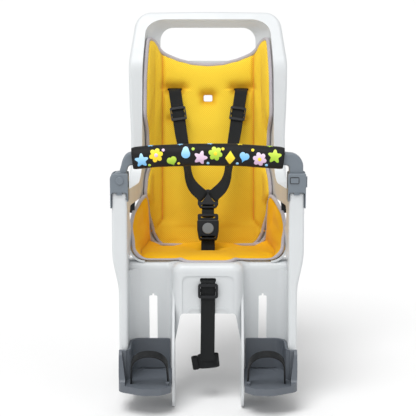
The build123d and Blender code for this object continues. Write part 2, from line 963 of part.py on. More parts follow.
def strap_slider(side):
    """A ladder slider: two bars in front of the strap and one behind it."""
    run = (shoulder_top - glide_v) / (shoulder_top - shoulder_bend)
    spot = Location((side * (slot_x + run * (shoulder_in - slot_x)), glide_v, 0), (0, 0, -side * lean))
    rail_mid = glide_wide / 2 - glide_rail / 2
    with BuildPart() as glide:
        with BuildSketch(harness.offset(face)):
            with Locations(spot):
                RectangleRounded(glide_wide, glide_tall, 4)
            with Locations(spot):
                Rectangle(glide_wide - 2 * glide_rail, glide_tall - 2 * glide_bar, mode=Mode.SUBTRACT)
        extrude(amount=glide_thick)
        with BuildSketch(harness.offset(-face - glide_thick / 2)):
            with Locations(spot):
                Rectangle(glide_wide, glide_bar)
        extrude(amount=glide_thick / 2)
        with BuildSketch(harness.offset(-face - glide_thick / 2)):
            with Locations(spot):
                with Locations((-rail_mid, 0), (rail_mid, 0)):
                    Rectangle(glide_rail, glide_tall - 6)
        extrude(amount=2 * face + glide_thick)
    return glide.part


def strap_anchor(side):
    """The flat bar behind the back that a shoulder strap hangs from."""
    with BuildPart() as plate:
        with BuildSketch(back_plane.offset(-wall - web_gap - anchor_thick)):
            with Locations((side * slot_x, up_back(slot_z))):
                RectangleRounded(anchor_wide, anchor_tall, 6)
            with Locations((side * slot_x, up_back(slot_z) - 9), (side * slot_x, up_back(slot_z) + 9)):
                SlotOverall(web_wide + 4, 4, mode=Mode.SUBTRACT)
        extrude(amount=anchor_thick)
    return plate.part


for side, name in ((-1, "left"), (1, "right")):
    export(shoulder_strap(side), f"shoulder_strap_{name}")
    export(strap_slider(side), f"strap_slider_{name}")
    export(strap_anchor(side), f"strap_anchor_{name}")

with BuildPart() as harness_yoke:
    with BuildSketch(harness.offset(face)):
        with BuildLine():
            FilletPolyline(
                (0, yoke_top),
                (yoke_half, yoke_low + 17),
                (yoke_half, yoke_low + 9),
                (yoke_half - 5, yoke_low),
                (5 - yoke_half, yoke_low),
                (-yoke_half, yoke_low + 9),
                (-yoke_half, yoke_low + 17),
                radius=[9, 5, 5, 5, 5, 5, 5],
                close=True,
            )
        make_face()
        with Locations((0, yoke_low + 6)):
            SlotOverall(28, 4, mode=Mode.SUBTRACT)
        tilt = math.degrees(math.atan2(yoke_top - yoke_low - 17, yoke_half))
        for side in (-1, 1):
            with Locations(Location((side * yoke_slot_x, yoke_slot_v, 0), (0, 0, -side * tilt))):
                SlotOverall(24, 4, mode=Mode.SUBTRACT)
    extrude(amount=yoke_thick)
    fillet(harness_yoke.faces().sort_by(Axis((0, 0, 0), harness.z_dir))[-1].outer_wire().edges(), 1.2)

export(harness_yoke.part, "harness_yoke")

with BuildPart() as yoke_strap:
    with BuildSketch(harness.offset(-web / 2)):
        with Locations((0, (buckle_mid + 4 + yoke_low + 10) / 2)):
            Rectangle(web_wide - 1, yoke_low + 6 - buckle_mid)
    extrude(amount=web)

export(yoke_strap.part, "yoke_strap")

prong_x = 17.4
prong_wide = 6.4
prong_long = 22.0
prong_thick = 4.0
prong_gap = 0.3
prong_face = face + 3.0
with BuildPart() as buckle_tongue:
    with BuildSketch(harness.offset(face)):
        with Locations((0, (buckle_mid + joint_gap + buckle_high) / 2)):
            RectangleRounded(2 * buckle_half - 2, buckle_high - buckle_mid - joint_gap, 4)
            SlotOverall(web_wide + 4, 4.5, mode=Mode.SUBTRACT)
    extrude(amount=buckle_thick - 3)
    with BuildSketch(harness.offset(prong_face)):
        with Locations((-prong_x, buckle_mid - prong_long / 2 + 2), (prong_x, buckle_mid - prong_long / 2 + 2)):
            Rectangle(prong_wide, prong_long)
    extrude(amount=prong_thick)

export(buckle_tongue.part, "buckle_tongue")

with BuildPart() as buckle_body:
    with BuildSketch(harness.offset(face)):
        with BuildLine():
            FilletPolyline(
                (-buckle_half, buckle_mid),
                (buckle_half, buckle_mid),
                (buckle_half, buckle_low + 22),
                (buckle_half - 4, buckle_low),
                (4 - buckle_half, buckle_low),
                (-buckle_half, buckle_low + 22),
                radius=[3, 3, 12, 5, 5, 12],
                close=True,
            )
        make_face()
    extrude(amount=buckle_thick)
    fillet(buckle_body.faces().sort_by(Axis((0, 0, 0), harness.z_dir))[-1].edges(), 2.5)
    with BuildSketch(harness.offset(face + 2.0)):
        with Locations((0, press_v)):
            Circle(press_r + press_gap)
    extrude(amount=buckle_thick, mode=Mode.SUBTRACT)
    with BuildSketch(harness.offset(prong_face - prong_gap)):
        with Locations((-prong_x, buckle_mid - prong_long / 2 + 2), (prong_x, buckle_mid - prong_long / 2 + 2)):
            Rectangle(prong_wide + 2 * prong_gap, prong_long + 2 * prong_gap)
    extrude(amount=prong_thick + 2 * prong_gap, mode=Mode.SUBTRACT)
    with BuildSketch(harness.offset(face)):
        with Locations((0, buckle_low + 6)):
            SlotOverall(crotch_wide + 3, 4.5)
    extrude(amount=buckle_thick, mode=Mode.SUBTRACT)

export(buckle_body.part, "buckle_body")

with BuildPart() as buckle_button:
    with BuildSketch(harness.offset(face + 2.0 + press_travel + joint_gap)):
        with Locations((0, press_v)):
            Circle(press_r)
    extrude(amount=buckle_thick - 2.0 - press_travel + 1.2)
    fillet(buckle_button.faces().sort_by(Axis((0, 0, 0), harness.z_dir))[-1].edges(), 1.2)

export(buckle_button.part, "buckle_button")

# Where the harness plane comes out under the pan, and the plane of the pan's underside there
pan_cos = math.cos(math.radians(pan_slope))
pan_sin = math.sin(math.radians(pan_slope))
under_v = -(pad_gap + seat_thick + wall / pan_cos) / (slope_z + slope_y * tan_p)
under_plane = Plane(
    (0, crotch_y + under_v * slope_y, crotch_z + under_v * slope_z),
    x_dir=(1, 0, 0),
    z_dir=(0, -pan_sin, -pan_cos),
)
fold_top = under_v - (2 * web_gap + anchor_thick) / (slope_z * pan_cos + slope_y * pan_sin) - fold_slack

# Its lower end is folded on itself, so that it can't pull up through the anchor's slot
with BuildPart() as crotch_strap:
    with BuildSketch(harness.offset(-web / 2)):
        with Locations((0, (fold_top + buckle_low + 22) / 2)):
            Rectangle(crotch_wide, buckle_low + 22 - fold_top)
    extrude(amount=web)
    with BuildSketch(harness.offset(-1.5 * web)):
        with Locations((0, fold_top - crotch_fold / 2)):
            Rectangle(crotch_wide, crotch_fold)
    extrude(amount=3 * web)

export(crotch_strap.part, "crotch_strap")

with BuildPart() as crotch_anchor:
    with BuildSketch(under_plane.offset(web_gap)):
        RectangleRounded(anchor_wide, crotch_plate, 5)
    extrude(amount=anchor_thick)
    with BuildSketch(harness.offset(-web / 2 - web_gap)):
        with Locations((0, under_v)):
            Rectangle(crotch_wide + 2 * joint_gap, 4 * anchor_thick)
    extrude(amount=web + 2 * web_gap, mode=Mode.SUBTRACT)

export(crotch_anchor.part, "crotch_anchor")

# The strap that goes round the bicycle's frame, its ladder slider and its end loop
hold_y = hump_front - hold_run
fold_y = hump_front + wall + web_gap
with BuildPart() as retention_strap:
    with Locations((0, hold_y - web / 2, (hold_z + web / 2 + hold_low) / 2)):
        Box(hold_wide, web, hold_z + web / 2 - hold_low)
    with Locations((0, (hold_y - web + fold_y + 1) / 2, hold_z)):
        Box(hold_wide, fold_y + 1 - hold_y + web, web)
    with Locations((0, fold_y + web, hold_z - 2)):
        Box(hold_wide, 2 * web, 26.0)

export(retention_strap.part, "retention_strap")

glide_y = hold_y - web - web_gap
with BuildPart() as retention_slider:
    with BuildSketch(Plane.XZ.offset(-glide_y)):
        with Locations((0, hold_z - 20)):
            RectangleRounded(40.0, 30.0, 5)
            Rectangle(31.0, 18.0, mode=Mode.SUBTRACT)
    extrude(amount=glide_thick)
    with BuildSketch(Plane.XZ.offset(-glide_y + glide_thick)):
        with Locations((0, hold_z - 20)):
            with Locations((-17.75, 0), (17.75, 0)):
                Rectangle(4.5, 20.0)
    extrude(amount=-(web + 2 * web_gap + glide_thick + 2.0))
    with BuildSketch(Plane.XZ.offset(-hold_y - web_gap)):
        with Locations((0, hold_z - 20)):
            Rectangle(40.0, 6.0)
    extrude(amount=-2.0)

export(retention_slider.part, "retention_slider")

loop_y = hold_y + web_gap + loop_deep
with BuildPart() as retention_loop:
    with BuildSketch(Plane.XY.offset(loop_z - loop_tall / 2)):
        with Locations((loop_x, loop_y)):
            Ellipse(loop_half, loop_deep)
            Ellipse(loop_half - 2.4, loop_deep - 2.4, mode=Mode.SUBTRACT)
    extrude(amount=loop_tall)

export(retention_loop.part, "retention_loop")


def footrest(side):
    """A shallow tray with a heel wall and a tall outer wall, open at the front and inside."""
    inner_x = hump_half + rest_gap
    outer_x = leg_in - rest_gap
    rear_y = leg_back - joint_gap
    outline = [
        (inner_x, rear_y),
        (outer_x, rear_y),
        (outer_x, rest_step),
        (rest_side, rest_step),
        (rest_side, rest_lip),
        (128.0, rest_front),
        (92.0, rest_front + 3),
        (inner_x, rest_front + 20),
    ]
    rounds = [nook_r + 2, well_r + 2, 3, 3, 18, 40, 16, 10]
    tub = plan_solid([(side * x, y) for x, y in outline], rounds, rest_low, rest_high)
    hollow = plan_solid(
        [
            (side * (inner_x - 20), rear_y - rest_wall),
            (side * (outer_x - rest_wall), rear_y - rest_wall),
            (side * (outer_x - rest_wall), rest_step + 4),
            (side * (leg_in + 4), rest_step - 5),
            (side * (leg_in + 4), -300.0),
            (side * (inner_x - 20), -300.0),
        ],
        [0, well_r - 2, 10, 10, 0, 0],
        rest_floor,
        rest_high + 10,
    )
    flank_cut = front_solid(
        [
            (side * (leg_in + 3), rest_floor + 2),
            (side * (rest_side - 4), rest_high + 10),
            (side * (leg_in + 3), rest_high + 10),
        ],
        [0, 0, 0],
        -300.0,
        rest_step - 5,
    )
    sweep_cut = side_solid(
        [
            (-300.0, rest_floor + 4),
            (rest_lip + 3, rest_floor + 4),
            (rest_step - 12, rest_high - 6),
            (rest_step - 2, rest_high + 1),
            (rest_step, 0.0),
            (-300.0, 0.0),
        ],
        [0, 10, 14, 4, 0, 0],
    )
    pocket = plan_solid(
        [
            (side * (inner_x + 4), rear_y - 8),
            (side * (outer_x - 4), rear_y - 8),
            (side * (outer_x - 4), rest_lip),
            (side * 128.0, rest_front + 6),
            (side * (inner_x + 4), rest_front + 24),
        ],
        [10, 16, 14, 20, 8],
        rest_low - 1,
        rest_floor - rest_wall,
    )
    with BuildPart() as tray:
        add(tub)
        add(hollow, mode=Mode.SUBTRACT)
        add(flank_cut, mode=Mode.SUBTRACT)
        add(sweep_cut, mode=Mode.SUBTRACT)
        add(pocket, mode=Mode.SUBTRACT)
        for heel_r, heel_deep in ((heel_big, heel_step), (heel_small, 2 * heel_step)):
            with BuildSketch(Plane.XY.offset(rest_floor - heel_deep)):
                with Locations((side * foot_x, rear_y - heel_small)):
                    Circle(heel_r)
            extrude(amount=heel_deep + 1, mode=Mode.SUBTRACT)
        with BuildSketch(Plane.XZ.offset(-leg_back)):
            with Locations((side * foot_x, clip_z)):
                Circle(screw_r + screw_gap)
        extrude(amount=20.0, mode=Mode.SUBTRACT)
    return tray.part


clip_low = foot_low + joint_gap
clip_z = clip_low + clip_tall / 2


def footrest_clip(side):
    """The key that rides in the slot, with a flange behind the wall."""
    with BuildPart() as clip:
        with BuildSketch(Plane.XZ.offset(-leg_back)):
            with Locations((side * foot_x, clip_z)):
                RectangleRounded(foot_slot - 2 * joint_gap, clip_tall, 2.5)
        extrude(amount=-(wall + joint_gap))
        with BuildSketch(Plane.XZ.offset(-leg_back - wall - joint_gap)):
            with Locations((side * foot_x, clip_z)):
                RectangleRounded(clip_flange, clip_tall + 6, 4)
        extrude(amount=-clip_thick)
        with BuildSketch(Plane.XZ.offset(-leg_back)):
            with Locations((side * foot_x, clip_z)):
                RectangleRounded(foot_slot - 2 * joint_gap, clip_tall, 2.5)
        extrude(amount=joint_gap)
        with BuildSketch(Plane.XZ.offset(-leg_back + 5)):
            with Locations((side * foot_x, clip_z)):
                Circle(screw_r + screw_gap)
        extrude(amount=-(wall + 3 + 5), mode=Mode.SUBTRACT)
    return clip.part


def footrest_screw(side):
    """The screw through the heel wall into the clip."""
    with BuildPart() as screw:
        with BuildSketch(Plane.XZ.offset(-leg_back + joint_gap + rest_wall)):
            with Locations((side * foot_x, clip_z)):
                Circle(screw_head_r + 1)
        extrude(amount=screw_head - 0.6)
        fillet(screw.edges().group_by(Axis.Y)[0], 1.0)
        with BuildSketch(Plane.XZ.offset(-leg_back + joint_gap + rest_wall)):
            with Locations((side * foot_x, clip_z)):
                Circle(screw_r)
        extrude(amount=-(rest_wall + wall + 2.0))
    return screw.part


strap_lean = math.radians(-21.0)


def foot_strap(side):
    """A rubber strap that arches over the foot."""
    mid_x = side * (hump_half + leg_in) / 2
    arch_plane = Plane(
        (mid_x, arch_y, rest_floor),
        x_dir=(1, 0, 0),
        z_dir=(0, -math.cos(strap_lean), math.sin(strap_lean)),
    )
    with BuildPart() as strap:
        with BuildSketch(arch_plane.offset(-arch_wide / 2)):
            with BuildLine():
                FilletPolyline(
                    (-arch_half_wide, -12),
                    (-arch_half_wide + 4, arch_high),
                    (arch_half_wide - 4, arch_high),
                    (arch_half_wide, -12),
                    radius=[32, 32],
                )
            trace(line_width=arch_thick)
        extrude(amount=arch_wide)
        split(bisect_by=Plane.XY.offset(rest_floor), keep=Keep.TOP)
    return strap.part


def foot_stud(side):
    """The peg that the strap's holes button onto."""
    with BuildPart() as stud:
        with BuildSketch(Plane.XY.offset(rest_floor)):
            with Locations((side * (hump_half + 9), arch_y - 18)):
                Circle(2.4)
        extrude(amount=5.0)
        with BuildSketch(Plane.XY.offset(rest_floor + 5.0)):
            with Locations((side * (hump_half + 9), arch_y - 18)):
                Circle(4.0)
        extrude(amount=2.4)
        fillet(stud.edges().group_by(Axis.Z)[-1], 1.0)
    return stud.part


for side, name in ((-1, "left"), (1, "right")):
    export(footrest(side), f"footrest_{name}")
    export(footrest_clip(side), f"footrest_clip_{name}")
    export(footrest_screw(side), f"footrest_screw_{name}")
    export(foot_strap(side), f"foot_strap_{name}")
    export(foot_stud(side), f"foot_stud_{name}")


def pad_tab(side):
    """A webbing tab that ties the seat cushion's wing to the armrest."""
    x = side * (back_half + (back_at(tab_z) - tab_y) * tan_f - web / 2 - 3 * joint_gap)
    with BuildPart() as tab:
        with Locations(Location((x, tab_y, tab_z), (0, 0, side * flare))):
            Box(web, tab_wide, tab_tall)
    return tab.part


export(pad_tab(-1), "pad_tab_left")
export(pad_tab(1), "pad_tab_right")

# Rack plate with two rail grooves and a spring tongue
with BuildPart() as rack_plate:
    with BuildSketch():
        with Locations((0, plate_mid)):
            RectangleRounded(2 * plate_half, plate_long, 16)
    extrude(amount=plate_thick)
    fillet(rack_plate.faces().sort_by(Axis.Z)[-1].edges(), 2.5)
    with BuildSketch(Plane.XZ.offset(200)):
        for side in (-1, 1):
            with Locations((side * rail_x, rail_r - 1.0)):
                Circle(rail_r)
            with Locations((side * rail_x, 0)):
                Rectangle(2 * rail_r - 1.2, 2 * rail_r - 2.0)
    extrude(amount=-400, mode=Mode.SUBTRACT)
    with BuildSketch():
        with Locations((0, plate_mid - plate_long / 2 + 24)):
            Rectangle(30, 54)
            Rectangle(24, 60, mode=Mode.SUBTRACT)
        with Locations((0, plate_mid - plate_long / 2 + 49.5)):
            Rectangle(30, 3)
            Rectangle(24, 3, mode=Mode.SUBTRACT)
    extrude(amount=plate_thick, mode=Mode.SUBTRACT)
    with BuildSketch():
        with Locations(*plate_points):
            Circle(screw_head_r + joint_gap)
    extrude(amount=screw_head + 4.0, mode=Mode.SUBTRACT)
    with BuildSketch():
        with Locations(*plate_points):
            Circle(screw_r + screw_gap)
    extrude(amount=plate_thick, mode=Mode.SUBTRACT)

export(rack_plate.part, "rack_plate")

with BuildPart() as plate_screws:
    with BuildSketch(Plane.XY.offset(4.0)):
        with Locations(*plate_points):
            Circle(screw_head_r)
    extrude(amount=screw_head)
    with BuildSketch(Plane.XY.offset(4.0)):
        with Locations(*plate_points):
            Circle(screw_r)
    extrude(amount=screw_long)

export(plate_screws.part, "plate_screws")
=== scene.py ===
"""Looks of the child bike seat: cushions, bindings, webbing, printed sleeve, finishes, light, camera.

Metres, in the frame of the solids. Each piece takes its place from the frame or the seat's own planes.
"""

import json
import math

import bpy
import numpy as np
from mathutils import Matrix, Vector


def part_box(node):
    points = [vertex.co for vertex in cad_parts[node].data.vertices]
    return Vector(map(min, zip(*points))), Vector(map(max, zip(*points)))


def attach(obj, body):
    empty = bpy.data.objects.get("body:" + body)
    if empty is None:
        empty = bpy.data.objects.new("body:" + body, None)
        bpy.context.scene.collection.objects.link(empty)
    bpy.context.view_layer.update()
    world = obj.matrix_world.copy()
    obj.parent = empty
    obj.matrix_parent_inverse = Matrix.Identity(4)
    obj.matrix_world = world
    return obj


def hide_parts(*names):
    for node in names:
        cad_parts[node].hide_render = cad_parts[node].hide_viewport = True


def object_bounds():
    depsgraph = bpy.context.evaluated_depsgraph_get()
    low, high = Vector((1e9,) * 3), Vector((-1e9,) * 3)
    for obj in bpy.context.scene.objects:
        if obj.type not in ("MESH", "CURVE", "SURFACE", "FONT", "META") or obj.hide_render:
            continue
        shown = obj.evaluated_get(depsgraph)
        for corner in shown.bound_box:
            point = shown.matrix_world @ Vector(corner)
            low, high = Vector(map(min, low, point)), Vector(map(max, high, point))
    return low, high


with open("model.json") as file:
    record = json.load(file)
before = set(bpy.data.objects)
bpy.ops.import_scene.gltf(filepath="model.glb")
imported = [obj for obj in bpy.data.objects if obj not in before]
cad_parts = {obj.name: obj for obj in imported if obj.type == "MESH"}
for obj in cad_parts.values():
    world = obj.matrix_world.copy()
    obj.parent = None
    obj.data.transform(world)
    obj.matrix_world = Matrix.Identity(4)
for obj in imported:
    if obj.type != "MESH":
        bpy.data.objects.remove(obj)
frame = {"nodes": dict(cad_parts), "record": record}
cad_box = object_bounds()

MM = 0.001
record = frame["record"]
nodes = frame["nodes"]
slot_of = {part["node"]: part["material_slot"] for part in record["subparts"]}

# The bucket's own planes, as the solids have them
RECLINE = math.radians(12.0)
FLARE = math.radians(6.6)
PAN_SLOPE = math.radians(5.5)
BACK_Y = 112 * MM
BACK_Z = 27 * MM
PAN_Y = -100 * MM
PAN_Z = 47 * MM
BACK_HALF = 131.5 * MM
CORNER_R = 45 * MM
COVE_R = 32 * MM
PAD_GAP = 0.8 * MM

# Places on the cushions
SLOT_X = 73.5 * MM
SLOT_Z = 365 * MM
SLOT_WIDE = 31 * MM
SLOT_TALL = 4.4 * MM
MID_SLOT_Z = 346 * MM
MID_SLOT_WIDE = 19 * MM
MID_SLOT_TALL = 14 * MM
SEAM_X = 100 * MM


def back_at(z):
    """Y of the back panel's front face at height z."""
    return BACK_Y + (z - BACK_Z) * math.tan(RECLINE)


def pan_at(y):
    """Z of the pan's top face at depth y."""
    return PAN_Z - (y - PAN_Y) * math.tan(PAN_SLOPE)


def smooth(low, high, value):
    """0 below low, 1 above high, and an even ramp between them."""
    t = min(1.0, max(0.0, (value - low) / (high - low)))
    return t * t * (3 - 2 * t)


def along(points, value):
    """Reads a curve through (value, result) points, with an even ramp between each two."""
    if value <= points[0][0]:
        return points[0][1]
    for (a, ra), (b, rb) in zip(points, points[1:]):
        if value <= b:
            return ra + (rb - ra) * smooth(a, b, value)
    return points[-1][1]


# Shader building


class Look:
    """A material whose nodes are added one by one."""

    def __init__(self, name, colour, rough, metal=0.0):
        self.material = bpy.data.materials.new(name)
        self.material.use_nodes = True
        self.tree = self.material.node_tree
        self.shader = self.tree.nodes["Principled BSDF"]
        self.shader.inputs["Base Color"].default_value = (*colour, 1)
        self.shader.inputs["Roughness"].default_value = rough
        self.shader.inputs["Metallic"].default_value = metal

    def add(self, kind, **values):
        """A node, with its settings and unlinked inputs by name."""
        node = self.tree.nodes.new(kind)
        for key, value in values.items():
            if hasattr(node, key):
                setattr(node, key, value)
            else:
                node.inputs[key.replace("_", " ")].default_value = value
        return node

    def link(self, source, target):
        self.tree.links.new(source, target)

    def math(self, operation, first, second=None):
        """A math node fed by sockets or numbers; its result socket."""
        node = self.tree.nodes.new("ShaderNodeMath")
        node.operation = operation
        for socket, value in zip(node.inputs, (first, second)):
            if value is None:
                continue
            if isinstance(value, (int, float)):
                socket.default_value = value
            else:
                self.link(value, socket)
        return node.outputs[0]

    def coords(self, kind="Object"):
        return self.add("ShaderNodeTexCoord").outputs[kind]

    def axes(self, kind="Object"):
        """The separate sockets of a place in the object's own space or on its UVs."""
        split = self.add("ShaderNodeSeparateXYZ")
        self.link(self.coords(kind), split.inputs[0])
        return split.outputs

    def noise(self, scale, detail=2.0):
        node = self.add("ShaderNodeTexNoise", Scale=scale, Detail=detail)
        self.link(self.coords(), node.inputs["Vector"])
        return node.outputs["Fac"]

    def mix(self, factor, first, second):
        """A colour between two colours, by a socket."""
        node = self.add("ShaderNodeMix", data_type="RGBA")
        self.link(factor, node.inputs["Factor"])
        colours = [s for s in node.inputs if s.type == "RGBA"]
        for socket, value in zip(colours, (first, second)):
            if isinstance(value, tuple):
                socket.default_value = (*value, 1)
            else:
                self.link(value, socket)
        return [s for s in node.outputs if s.type == "RGBA"][0]

    def ranged(self, value, low, high, to_low, to_high):
        """A socket moved from the range low to high into the range to_low to to_high."""
        node = self.add("ShaderNodeMapRange", From_Min=low, From_Max=high, To_Min=to_low, To_Max=to_high)
        self.link(value, node.inputs["Value"])
        return node.outputs[0]

    def bump(self, height, strength, distance):
        node = self.add("ShaderNodeBump", Strength=strength, Distance=distance)
        self.link(height, node.inputs["Height"])
        last = self.shader.inputs["Normal"]
        if last.links:
            self.link(last.links[0].from_socket, node.inputs["Normal"])
        self.link(node.outputs[0], last)

    def colour(self, socket):
        self.link(socket, self.shader.inputs["Base Color"])

    def roughness(self, socket):
        self.link(socket, self.shader.inputs["Roughness"])


def shade(colour, by):
    return tuple(min(1.0, c * by) for c in colour)


def plastic(name, colour, rough, grain=0.12, mirror=0.5):
    """Moulded plastic: fine spark grain, faint cloudiness, uneven gloss."""
    look = Look(name, colour, rough)
    look.shader.inputs["Specular IOR Level"].default_value = mirror
    cloud = look.noise(9.0, 3.0)
    look.colour(look.mix(cloud, shade(colour, 0.95), shade(colour, 1.04)))
    look.roughness(look.ranged(look.noise(35.0), 0.3, 0.7, rough - 0.05, rough + 0.06))
    look.bump(look.noise(1500.0, 2.0), grain, 0.0004)
    return look.material


def knit(name, colour, deep, pitch, depth):
    """Air mesh: small eyelets on a diagonal lattice, over foam, darkened by painted shade from a
    per-vertex attribute.
    """
    look = Look(name, colour, 0.85)
    at = look.axes("UV")
    turn = 2 * math.pi / pitch
    first = look.math("SINE", look.math("MULTIPLY", at[0], turn))
    second = look.math("SINE", look.math("MULTIPLY", at[1], turn))
    lattice = look.math("MULTIPLY", first, second)
    eyelet = look.ranged(lattice, 0.1, 0.75, 0.0, 1.0)
    cloud = look.noise(14.0, 3.0)
    thread = look.mix(cloud, shade(colour, 0.94), shade(colour, 1.06))
    # Painted shade: a per-vertex attribute darkens the cloth towards a deep orange in creases, on the
    # wings and towards the lower end.
    painted_shade = look.add("ShaderNodeAttribute", attribute_name="painted_shade").outputs["Fac"]
    look.colour(look.mix(painted_shade, look.mix(eyelet, thread, deep), shade(deep, 0.9)))
    look.bump(look.math("SUBTRACT", 1.0, eyelet), depth, 0.0008)
    look.bump(look.noise(2600.0, 1.0), 0.15, 0.0003)
    look.shader.inputs["Sheen Weight"].default_value = 0.06
    look.shader.inputs["Sheen Roughness"].default_value = 0.4
    look.shader.inputs["Specular IOR Level"].default_value = 0.2
    return look.material


def woven(name, colour, pitch, slant, strength, rough=0.7, sheen=0.2):
    """Webbing or tape: slanting ribs across its width, along UV."""
    look = Look(name, colour, rough)
    look.shader.inputs["Specular IOR Level"].default_value = 0.3
    at = look.axes("UV")
    side = look.math("MULTIPLY", look.math("ABSOLUTE", at[0]), slant)
    rib = look.math("SINE", look.math("MULTIPLY", look.math("ADD", at[1], side), 2 * math.pi / pitch))
    cloud = look.noise(40.0, 3.0)
    base = look.mix(cloud, shade(colour, 0.8), shade(colour, 1.25))
    look.colour(look.mix(look.ranged(rib, -1.0, 1.0, 0.0, 1.0), base, shade(colour, 1.5)))
    look.bump(rib, strength, 0.0004)
    look.bump(look.noise(3000.0, 1.0), 0.2, 0.0002)
    look.shader.inputs["Sheen Weight"].default_value = sheen
    look.shader.inputs["Sheen Roughness"].default_value = 0.5
    return look.material


def rubbery(name, colour):
    look = Look(name, colour, 0.55)
    look.shader.inputs["Specular IOR Level"].default_value = 0.25
    look.roughness(look.ranged(look.noise(60.0), 0.3, 0.7, 0.48, 0.64))
    look.bump(look.noise(900.0, 3.0), 0.15, 0.0003)
    return look.material


def steel(name):
    """Zinc-plated steel with fine turning marks."""
    look = Look(name, (0.62, 0.63, 0.64), 0.32, 1.0)
    look.roughness(look.ranged(look.noise(220.0, 4.0), 0.3, 0.7, 0.25, 0.42))
    look.bump(look.noise(1800.0, 1.0), 0.06, 0.0002)
    return look.material


ORANGE = (0.92, 0.672, 0.050)
DEEP_ORANGE = (0.83, 0.462, 0.006)
looks = {
    "shell": plastic("shell_plastic", (0.600, 0.622, 0.634), 0.34),
    "pad": knit("pad_mesh", ORANGE, (0.72, 0.34, 0.010), 4.2 * MM, 0.7),
    "bar": plastic("bar_plastic", (0.160, 0.188, 0.217), 0.38, 0.18),
    "sleeve": woven("sleeve_cloth", (0.0042, 0.0040, 0.0042), 0.9 * MM, 0.0, 0.25, 0.6, 0.0),
    "webbing": woven("webbing", (0.0040, 0.0050, 0.0056), 1.9 * MM, 0.9, 0.5, 0.72, 0.03),
    "hardware": plastic("hardware_plastic", (0.009, 0.010, 0.012), 0.30, 0.06, 0.28),
    "button": plastic("button_plastic", (0.16, 0.175, 0.185), 0.36, 0.08),
    "footrest": plastic("footrest_plastic", (0.104, 0.118, 0.138), 0.42, 0.2),
    "rubber": rubbery("strap_rubber", (0.007, 0.008, 0.009)),
    "plate": plastic("plate_nylon", (0.018, 0.019, 0.021), 0.5, 0.25),
    "steel": steel("plated_steel"),
}
for name, node in nodes.items():
    node.data.materials.clear()
    node.data.materials.append(looks[slot_of[name]])
nodes["hinge_pin"].data.materials[0] = looks["bar"]
for name in ("footrest_screw_left", "footrest_screw_right"):
    nodes[name].data.materials[0] = looks["hardware"]


def outlined(name, node, colour, edge):
    """Plastic with a painted shadow: a dark band inside the front outline of a node, standing in for the
    shade in the gap round it.
    """
    look = Look(name, colour, 0.4)
    at = look.axes()
    low, high = (np.array(corner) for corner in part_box(node))
    shift = np.array(nodes[node].matrix_world.inverted().translation)
    reach = []
    for axis in (0, 2):
        middle = (low[axis] + high[axis]) / 2 + shift[axis]
        off = look.math("ABSOLUTE", look.math("SUBTRACT", at[axis], float(middle)))
        reach.append(look.math("SUBTRACT", off, float((high[axis] - low[axis]) / 2 - edge)))
    # Painted shadow of the gap round the node's front.
    gap_shadow = look.math("GREATER_THAN", look.math("MAXIMUM", *reach), 0.0)
    look.colour(look.mix(gap_shadow, colour, shade(colour, 0.12)))
    look.bump(look.noise(1500.0, 2.0), 0.15, 0.0004)
    return look.material


LATCH_GREY = (0.155, 0.182, 0.212)
# Width of the painted gap shadow on the latch button.
LATCH_SHADOW_BAND = 1.3 * MM
latch_look = outlined("latch_plastic", "latch_button", LATCH_GREY, LATCH_SHADOW_BAND)
nodes["latch_button"].data.materials[0] = latch_look
binding_look = woven("binding_tape", (0.345, 0.322, 0.340), 1.6 * MM, 1.0, 0.35)
seam_look = woven("seam_thread", (0.56, 0.20, 0.010), 1.6 * MM, 0.0, 0.4)
wing_seam_look = woven("wing_seam_thread", (0.27, 0.050, 0.005), 1.6 * MM, 0.0, 0.4)
smooth_pad = knit("pad_cloth", DEEP_ORANGE, (0.84, 0.42, 0.006), 1.6 * MM, 0.15)

# Mesh building


def piece(name, verts, faces, look, uv=None):
    """A smooth mesh object with UVs in metres, one per vertex."""
    mesh = bpy.data.meshes.new(name)
    mesh.from_pydata([tuple(v) for v in verts], [], faces)
    mesh.materials.append(look)
    if uv is not None:
        layer = mesh.uv_layers.new(name="UVMap")
        for loop in mesh.loops:
            layer.data[loop.index].uv = uv[loop.vertex_index]
    mesh.polygons.foreach_set("use_smooth", [True] * len(mesh.polygons))
    mesh.update()
    obj = bpy.data.objects.new(name, mesh)
    bpy.context.scene.collection.objects.link(obj)
    return obj


def rounded(obj):
    """The piece with one step of subdivision over it."""
    mod = obj.modifiers.new("round", "SUBSURF")
    mod.levels = 1
    mod.render_levels = 1
    return obj


def set_painted_shade(obj, values):
    """Stores how much painted shade each vertex gets, for the cloth's colour."""
    layer = obj.data.attributes.new("painted_shade", "FLOAT", "POINT")
    layer.data.foreach_set("value", [float(v) for v in values])


def walls_between(front, back, kept):
    """Faces of a padded sheet: front grid, back grid, and a wall where a kept cell has no neighbour."""
    rows, cols = kept.shape
    faces = []
    for j in range(rows):
        for i in range(cols):
            if not kept[j, i]:
                continue
            a, b, c, d = (j, i), (j, i + 1), (j + 1, i + 1), (j + 1, i)
            faces.append([front[a], front[b], front[c], front[d]])
            faces.append([back[d], back[c], back[b], back[a]])
            sides = ((a, b, j - 1, i), (b, c, j, i + 1), (c, d, j + 1, i), (d, a, j, i - 1))
            for p, q, nj, ni in sides:
                if not (0 <= nj < rows and 0 <= ni < cols and kept[nj, ni]):
                    faces.append([front[q], front[p], back[p], back[q]])
    return faces


PRESSURE = 4.0
CLOTH_FRAMES = 20


